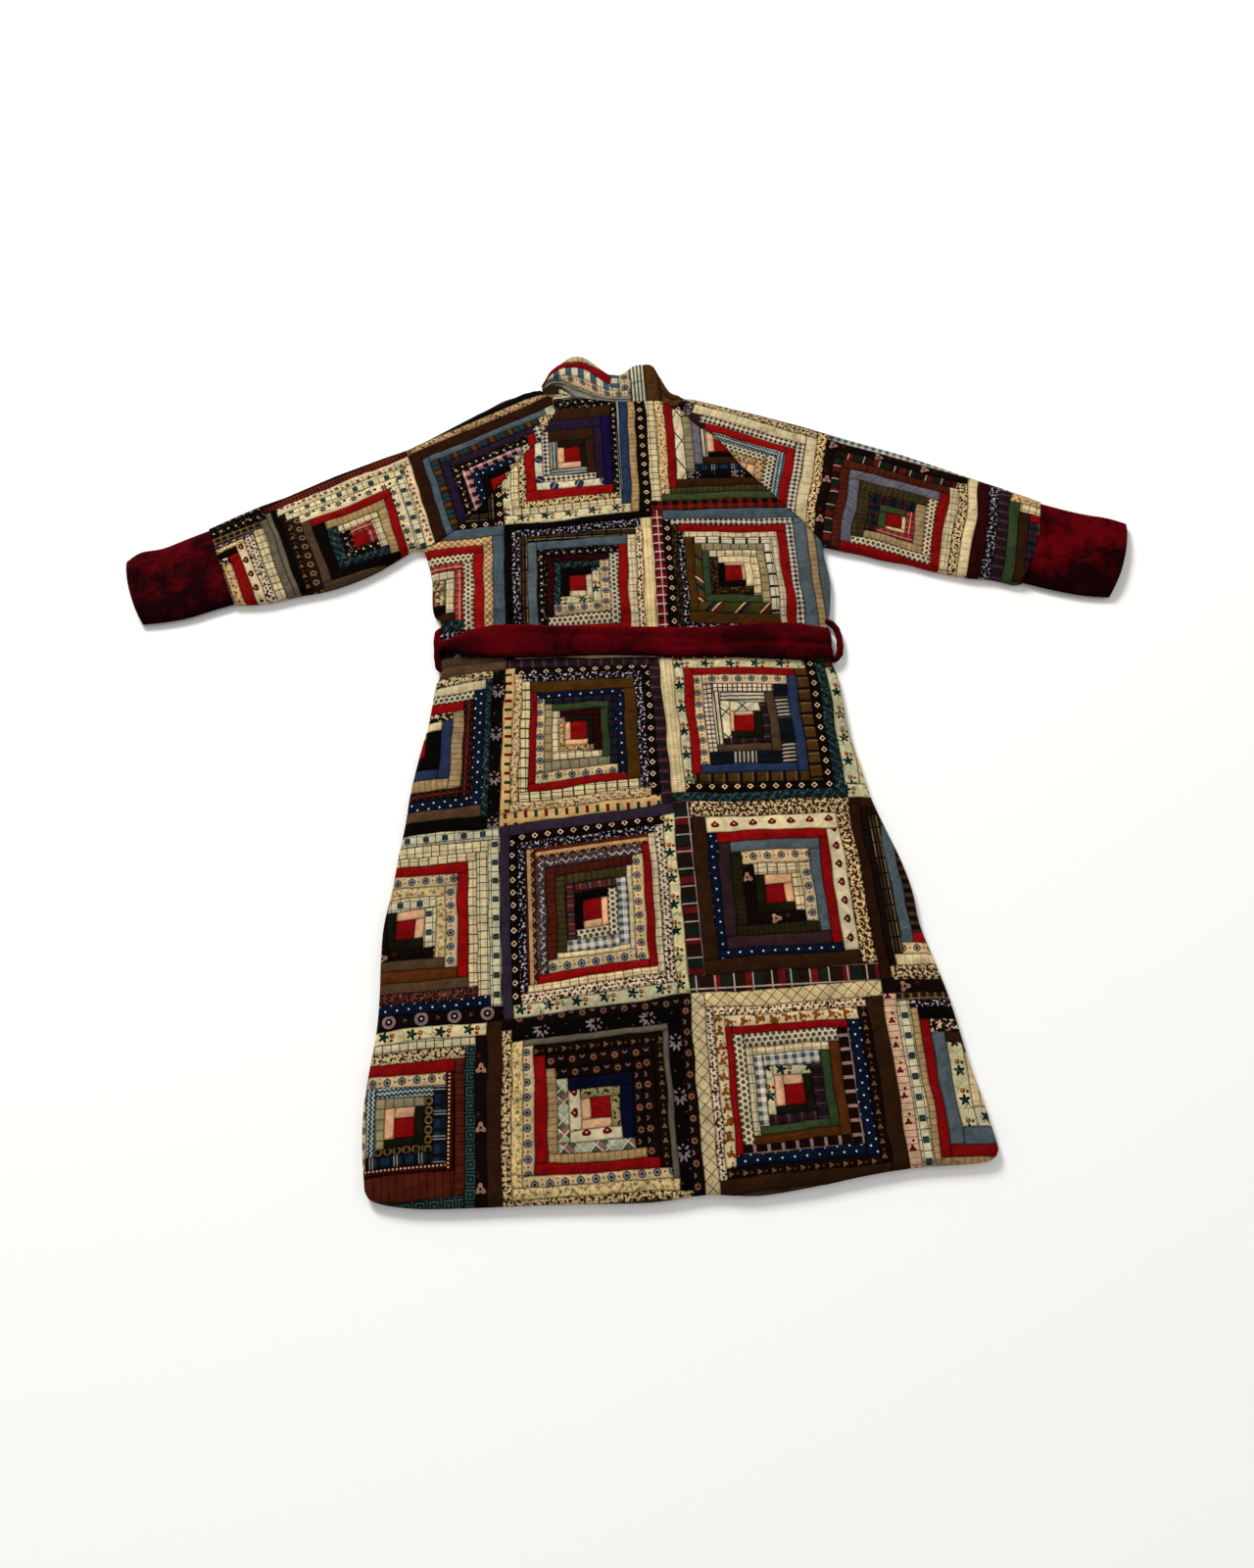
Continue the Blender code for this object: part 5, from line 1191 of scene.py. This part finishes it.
class CoatColours(bpy.types.PropertyGroup):
    """Colours of the velvet and wear of the cottons."""

    velvet_dark: bpy.props.FloatVectorProperty(name="Velvet in shade", description="Along its nap",
                                               default=linear("150002"), size=4, min=0.0, max=1.0,
                                               subtype="COLOR")
    velvet_light: bpy.props.FloatVectorProperty(name="Velvet in light", description="Pile laid over",
                                                default=linear("5E0109"), size=4, min=0.0, max=1.0,
                                                subtype="COLOR")
    wear: bpy.props.FloatProperty(name="Wear", description="Unevenness of the dyes", default=0.12,
                                  min=0.0, max=0.5, subtype="FACTOR")


class CoatStage(bpy.types.PropertyGroup):
    """Light and floor."""

    floor: bpy.props.FloatVectorProperty(name="Floor", description="Colour of the paper",
                                         default=linear("FBFAF7"), size=4, min=0.0, max=1.0,
                                         subtype="COLOR")
    power: bpy.props.FloatProperty(name="Light", description="Strength of the softboxes", default=1.0,
                                   min=0.1, max=4.0, subtype="FACTOR")


class OBJECT_OT_coat_back(bpy.types.Operator):
    """Patchwork back, with padded logs and rolled hem and sides"""

    bl_idname = "object.coat_back"
    bl_label = "Back"

    def execute(self, context):
        outline = back_outline()
        made = quilt_panel("quilt_back", back_patchwork(UPPER_STEPS, 5), outline,
                           context.scene.coat_sizes, SEWN.values())
        lay(made, "back_panel")
        return {"FINISHED"}


class OBJECT_OT_coat_fronts(bpy.types.Operator):
    """Two patchwork fronts that the coat lies on, meeting at the centre front"""

    bl_idname = "object.coat_fronts"
    bl_label = "Fronts"

    def execute(self, context):
        for side, sign in (("left", -1), ("right", 1)):
            outline = half_outline(back_outline(), sign)
            made = quilt_panel("quilt_front_" + side, back_patchwork(LOWER_STEPS, 6), outline,
                               context.scene.coat_sizes, lower=True)
            lay(made, "front_" + side)
        return {"FINISHED"}


class OBJECT_OT_coat_sleeves(bpy.types.Operator):
    """Two raglan sleeves, each a patchwork tube laid flat"""

    bl_idname = "object.coat_sleeves"
    bl_label = "Sleeves"

    def execute(self, context):
        sizes = context.scene.coat_sizes
        for side, seed in (("left", 7), ("right", 8)):
            outline = sleeve_outline(side)
            upper = quilt_panel("quilt_sleeve_" + side, sleeve_patchwork(side, UPPER_STEPS, seed),
                                outline, sizes, (SEWN[side], wrist_line(side)))
            lower = quilt_panel("sleeve_lower_" + side, sleeve_patchwork(side, LOWER_STEPS, seed + 10),
                                outline, sizes, lower=True)
            with context.temp_override(active_object=upper, selected_editable_objects=[upper, lower],
                                       selected_objects=[upper, lower], object=upper):
                bpy.ops.object.join()
            lay(upper, "sleeve_" + side)
        return {"FINISHED"}


class OBJECT_OT_coat_cuffs(bpy.types.Operator):
    """Velvet cuffs, each a flattened tube"""

    bl_idname = "object.coat_cuffs"
    bl_label = "Cuffs"

    def execute(self, context):
        for side, lines in CUFF_LINES.items():
            uppers = rounded([line[0] for line in lines], 8)
            lowers = rounded([line[1] for line in lines], 8)
            at = np.linspace(0, len(lines) - 1, len(uppers))
            bows = np.interp(at, range(len(lines)), [line[2] for line in lines])
            rings = []
            for stop in np.linspace(0, len(lines) - 1, 34):
                upper, lower = ([np.interp(stop, at, run[:, k]) for k in (0, 1)]
                                for run in (uppers, lowers))
                bow = float(np.interp(stop, at, bows))
                rings.append(self.ring(lower, upper, bow, CUFF_SEEDS[side], stop / (len(lines) - 1)))
            outer, inner = zip(*rings)
            made = skin("velvet_cuff_" + side, outer, velvet(*CUFF_PILE[side]), inner)
            lay(made, "cuff_" + side)
        return {"FINISHED"}

    def ring(self, lower, upper, bow, seed, last):
        """One ring round the cuff, outside and inside; last is 0 at its seam and 1 at its opening."""
        high = CUFF_HIGH * (1 - 0.05 * (1 - last) ** 6) * (1 - 0.16 * last ** 5)
        half = np.linalg.norm(np.subtract(upper, lower)) / 2
        middle = high * 0.36
        tops = np.sin(np.linspace(-math.pi / 2, math.pi / 2, 27))
        lows = np.sin(np.linspace(math.pi / 2, -math.pi / 2, 13))[1:-1]
        outer, inner = [], []
        for c, above in [(c, True) for c in tops] + [(c, False) for c in lows]:
            plan = cuff_point(lower, upper, bow, c)
            inside = cuff_point(lower, upper, bow, c * (half - CUFF_WALL * 1.4) / half)
            if above:
                spot = np.array([plan])
                rise = (1 - abs(c) ** 3.2) ** 0.5 if abs(c) < 1 else 0.0
                soft = 0.9 * waves(spot, 62, seed)[0] + 0.45 * waves(spot, 24, seed + 1)[0]
                z = middle + (high - middle + soft * min(1.0, 4 * (1 - last) + 0.4)) * rise
            else:
                z = middle * (1 - (1 - abs(c) ** 12) ** 0.5)
            outer.append((*plan, z))
            inner.append((*inside, CUFF_WALL + (max(z - 2 * CUFF_WALL, 0.3) if above else 0.0)))
        return outer, inner


class OBJECT_OT_coat_collar(bpy.types.Operator):
    """Stand collar of patchwork, laid flat past the neck"""

    bl_idname = "object.coat_collar"
    bl_label = "Collar"

    def execute(self, context):
        stations = np.array(COLLAR_STATIONS, dtype=float)
        neck, rim = rounded(stations[:, :2], 7), rounded(stations[:, 2:4], 7)
        highs = rounded(stations[:, 4:], 7)
        depth = np.hypot(*(rim - neck).T)
        columns, rows = len(neck), COLLAR_ROWS
        shares = np.linspace(0, 1, rows)
        grid = neck[:, None] + (rim - neck)[:, None] * shares[:, None]
        points = grid.reshape(-1, 2)
        number = np.arange(columns)
        ends = smooth_step(np.minimum(number, columns - 1 - number) / 9.0)[:, None]
        up = COLLAR_SEAM_HIGH + (highs - COLLAR_SEAM_HIGH) * smooth_step(shares * 1.15)
        rolled = np.maximum(0.0, 1 - (1 - shares) * depth[:, None] / 6.0)
        fall = 4.6 * (1 - np.sqrt(1 - rolled ** 2))
        heights = (COLLAR_END_HIGH + (up - fall - COLLAR_END_HIGH) * ends).ravel()

        ids = np.arange(len(points)).reshape(columns, rows)
        log_of = self.logs_at((grid[:-1, :-1] + grid[1:, :-1] + grid[1:, 1:] + grid[:-1, 1:])[..., 0] / 4,
                              (np.arange(rows - 1) + 0.5) / (rows - 1))
        tones_of = np.random.default_rng(71).uniform(-1, 1, len(COLLAR_LOGS))
        faces, names, uvs, tones = [], [], [], []
        for (i, j), log in np.ndenumerate(log_of):
            cloth, width, along_neck, edge = COLLAR_LOGS[log]
            face = [ids[i, j], ids[i + 1, j], ids[i + 1, j + 1], ids[i, j + 1]]
            xs, up_share = points[face][:, 0], np.array([j, j, j + 1, j + 1]) / (rows - 1)
            if along_neck:
                top = np.interp(xs, *zip(*edge))
                uvs.append(np.column_stack([xs, width / 2 - (top - up_share) * depth[i]]))
            else:
                middle = (edge[0][0] + edge[-1][0]) / 2
                uvs.append(np.column_stack([up_share * depth[i], middle - xs]))
            faces.append(face)
            names.append(cloth)
            tones.append(tones_of[log])
        # a seam runs wherever two logs meet
        up_seams = (grid[1:-1, :-1] + grid[1:-1, 1:])[log_of[1:] != log_of[:-1]] / 2
        cross_seams = (grid[:-1, 1:-1] + grid[1:, 1:-1])[log_of[:, 1:] != log_of[:, :-1]] / 2
        away = np.linalg.norm(points[:, None] - np.vstack([up_seams, cross_seams])[None], axis=-1)
        seam = np.clip(away.min(axis=1) - 0.6, 0.0, 4.0)
        heights += 1.3 * smooth_step(seam / 3.0) * smooth_step((heights - 6.5) / 4.0)
        heights += 0.3 * waves(points, 17, 77)

        around = np.concatenate([ids[:, 0], ids[-1, 1:], ids[-2::-1, -1], ids[0, -2:0:-1]])
        below = np.arange(len(around)) + len(points)
        points = np.vstack([points, points[around]])
        heights = np.concatenate([heights, np.zeros(len(around))])
        for face in zip(np.roll(around, -1), around, below, np.roll(below, -1)):
            face = list(face)
            faces.append(face)
            names.append("rim_stripe" if points[face[1]][0] < COLLAR_CHANGE else "walnut")
            uvs.append(np.column_stack([points[face][:, 0], heights[face]]))
        faces.append(below[::-1])
        names.append(LINING_CLOTH)
        uvs.append(points[below[::-1]])
        made = fabric_mesh("quilt_collar", points, heights, faces, names, np.vstack(uvs),
                           tones + [0.0] * (len(around) + 1), np.append(seam, np.full(len(around), 3.0)))
        lay(made, "collar")
        return {"FINISHED"}

    def logs_at(self, x, share):
        """Number of the uppermost log at places of the collar."""
        found = np.zeros(x.shape, dtype=int)
        for number, (_, _, _, edge) in enumerate(COLLAR_LOGS):
            xs, tops = zip(*edge)
            found[(x >= xs[0]) & (x <= xs[-1]) & (share <= np.interp(x, xs, tops))] = number
        return found


class OBJECT_OT_coat_belt(bpy.types.Operator):
    """Velvet belt over the back, round both sides and under the fronts"""

    bl_idname = "object.coat_belt"
    bl_label = "Belt"

    def execute(self, context):
        thick = context.scene.coat_sizes.belt_thick / MM
        left_x, right_x = LEFT_SIDE[5][0], RIGHT_SIDE[14][0]
        rings = [self.under(x) for x in np.linspace(-6, left_x + 12, 24)]
        rings += self.turn(left_x, BELT_STATIONS[0], -1, thick)[::-1]
        for x in np.linspace(BELT_STATIONS[1][0] - 14, BELT_STATIONS[-2][0] + 14, 120):
            upper, lower = belt_edges(x)
            rings.append(self.ring(x, BELT_BASE, 0, (upper + lower) / 2, upper - lower, thick, 1))
        rings += self.turn(right_x, BELT_STATIONS[-1], 1, thick)
        rings += [self.under(x) for x in np.linspace(right_x - 12, 6, 22)]
        made = skin("velvet_belt", rings, velvet(*BELT_PILE))
        lay(made, "belt")
        return {"FINISHED"}

    def under(self, x):
        """Ring of the belt where the coat lies on it."""
        return self.ring(x, BELT_UNDER, 180, belt_middle(x), BELT_UNDER_WIDE, BELT_UNDER, 0)

    def turn(self, side_x, station, sign, thick):
        """Rings round one side of the coat, from the back to the front."""
        rings = []
        for tilt, past, share_up in BELT_ROUND:
            share = (180 - tilt) / 180
            middle = (station[1] + station[2]) / 2 * share + belt_middle(side_x) * (1 - share)
            width = (station[1] - station[2]) * share + BELT_UNDER_WIDE * (1 - share)
            depth = BELT_TURN_THICK + (thick - BELT_TURN_THICK) * max(0.0, 1 - tilt / 40)
            depth = min(depth, BELT_UNDER) if tilt > 145 else depth
            high = BELT_UNDER + (BELT_BASE - BELT_UNDER) * share_up
            rings.append(self.ring(side_x + sign * past, high, sign * tilt, middle, width, depth,
                                   1 - tilt / 180))
        return rings

    def ring(self, x, z, tilt, middle, wide, thick, crown):
        """Ring of the belt at one place of its route; tilt 0 faces up and 180 down."""
        out_x, out_z = math.sin(math.radians(tilt)), math.cos(math.radians(tilt))
        ring = []
        for c in np.sin(np.linspace(-math.pi / 2, math.pi / 2, 21)):
            y = c * wide / 2
            spot = np.array([(x, middle + y)])
            puff = 0.42 + 0.58 * (1 - abs(c) ** 3.4) ** 0.5 if abs(c) < 1 else 0.42
            # two long creases, the first only over the right half of the back
            low = 1.1 * math.exp(-((y + 6 - 0.03 * (x - 60)) / 2.6) ** 2) * smooth_step((x + 20) / 60.0)
            high = 0.8 * math.exp(-((y - 9 + 0.04 * (x + 120)) / 3) ** 2)
            soft = (0.5 * waves(spot, 40, 91)[0] + 0.35 * waves(spot, 17, 92)[0] - low - high) * crown
            lift = thick * puff + soft * (1 - abs(c) ** 6)
            ring.append((x + out_x * lift, middle + y, z + out_z * lift))
        return ring + [(x, middle + c * wide / 2, z) for c in (0.93, 0.0, -0.93)]


class OBJECT_OT_coat_loops(bpy.types.Operator):
    """Narrow velvet loops at the side seams"""

    bl_idname = "object.coat_loops"
    bl_label = "Belt loops"

    def execute(self, context):
        for side, route in LOOP_ROUTES.items():
            line = rounded(route, 6)
            rings = []
            for i, spot in enumerate(line):
                ahead = line[min(i + 1, len(line) - 1)] - line[max(i - 1, 0)]
                ahead /= np.linalg.norm(ahead)
                across = np.array((-ahead[1], ahead[0])) * LOOP_WIDE / 2 * (1 + 0.06 * math.sin(i * 0.9))
                rings.append([(*(spot + across * math.cos(angle)),
                               LOOP_HIGH + LOOP_THICK / 2 * math.sin(angle))
                              for angle in np.linspace(0, 2 * math.pi, 16, endpoint=False)])
            made = skin("velvet_loop_" + side, rings, velvet(*BELT_PILE))
            lay(made, "belt_loop_" + side)
        return {"FINISHED"}


class OBJECT_OT_coat_stage(bpy.types.Operator):
    """Pale floor, soft light and the camera"""

    bl_idname = "object.coat_stage"
    bl_label = "Stage"

    def execute(self, context):
        stage = context.scene.coat_stage
        things = [self.floor(stage)]
        for name, place, size, power in SOFTBOXES:
            lamp = bpy.data.lights.new(name, "AREA")
            lamp.shape = "SQUARE"
            lamp.size = size
            lamp.energy = power * stage.power
            made = bpy.data.objects.new(name, lamp)
            made.location = place
            made.rotation_euler = Vector(place).to_track_quat("Z", "Y").to_euler()
            things.append(made)
        camera = self.camera()
        for made in things + [camera]:
            context.scene.collection.objects.link(made)
        world = bpy.data.worlds.new("soft_white_room")
        world.use_nodes = True
        light = world.node_tree.nodes["Background"].inputs
        light["Color"].default_value = (1, 1, 1, 1)
        light["Strength"].default_value = ROOM_LIGHT * stage.power
        context.scene.world = world
        context.scene.camera = camera
        context.scene.view_settings.view_transform = "Standard"
        return {"FINISHED"}

    def floor(self, stage):
        """Sheet of matt paper: it gives the eye no gloss, only soft shadow."""
        mesh = bpy.data.meshes.new("floor")
        reach = FLOOR_WIDE / 2
        mesh.from_pydata([(-reach, -reach, 0), (reach, -reach, 0), (reach, reach, 0), (-reach, reach, 0)],
                         [], [(0, 1, 2, 3)])
        paper = bpy.data.materials.new("matt_paper_floor")
        paper.use_nodes = True
        shader = paper.node_tree.nodes["Principled BSDF"]
        shader.inputs["Base Color"].default_value = stage.floor
        shader.inputs["Roughness"].default_value = 0.95
        shader.inputs["Specular IOR Level"].default_value = 0.1
        mesh.materials.append(paper)
        made = bpy.data.objects.new("floor", mesh)
        made.location.z = -0.6 * MM
        return made

    def camera(self):
        """Camera at the photograph's place and angle."""
        lens = bpy.data.cameras.new("photo_camera")
        lens.lens = CAMERA_LENS
        lens.sensor_width = 36.0
        lens.clip_start = 0.05
        made = bpy.data.objects.new("photo_camera", lens)
        right = Vector(CAMERA_RIGHT).normalized()
        back = right.cross(Vector(CAMERA_UP)).normalized()
        turn = Matrix((right, back.cross(right), back)).transposed().to_4x4()
        made.matrix_world = Matrix.Translation(CAMERA_PLACE) @ turn
        return made


class VIEW3D_PT_coat(bpy.types.Panel):
    """Sizes, colours and steps of the coat"""

    bl_label = "Quilted coat"
    bl_idname = "VIEW3D_PT_coat"
    bl_space_type = "VIEW_3D"
    bl_region_type = "UI"
    bl_category = "Coat"

    def draw(self, context):
        layout = self.layout
        for name, group in GROUPS.items():
            for key in group.__annotations__:
                layout.prop(getattr(context.scene, name), key)
        for step in STEPS:
            layout.operator(step.bl_idname)


GROUPS = {"coat_sizes": CoatSizes, "coat_colours": CoatColours, "coat_stage": CoatStage}
STEPS = (OBJECT_OT_coat_back, OBJECT_OT_coat_fronts, OBJECT_OT_coat_sleeves, OBJECT_OT_coat_cuffs,
         OBJECT_OT_coat_collar, OBJECT_OT_coat_belt, OBJECT_OT_coat_loops, OBJECT_OT_coat_stage)


def register():
    """Add the settings, the operators and the panel to Blender."""
    for name, group in GROUPS.items():
        bpy.utils.register_class(group)
        setattr(bpy.types.Scene, name, bpy.props.PointerProperty(type=group))
    for step in STEPS:
        bpy.utils.register_class(step)
    bpy.utils.register_class(VIEW3D_PT_coat)


def unregister():
    """Take them out again."""
    bpy.utils.unregister_class(VIEW3D_PT_coat)
    for step in reversed(STEPS):
        bpy.utils.unregister_class(step)
    for name, group in GROUPS.items():
        delattr(bpy.types.Scene, name)
        bpy.utils.unregister_class(group)


def main():
    register()
    bpy.ops.object.coat_back()
    bpy.ops.object.coat_fronts()
    bpy.ops.object.coat_sleeves()
    bpy.ops.object.coat_cuffs()
    bpy.ops.object.coat_collar()
    bpy.ops.object.coat_belt()
    bpy.ops.object.coat_loops()
    bpy.ops.object.coat_stage()


if __name__ == "__main__":
    main()
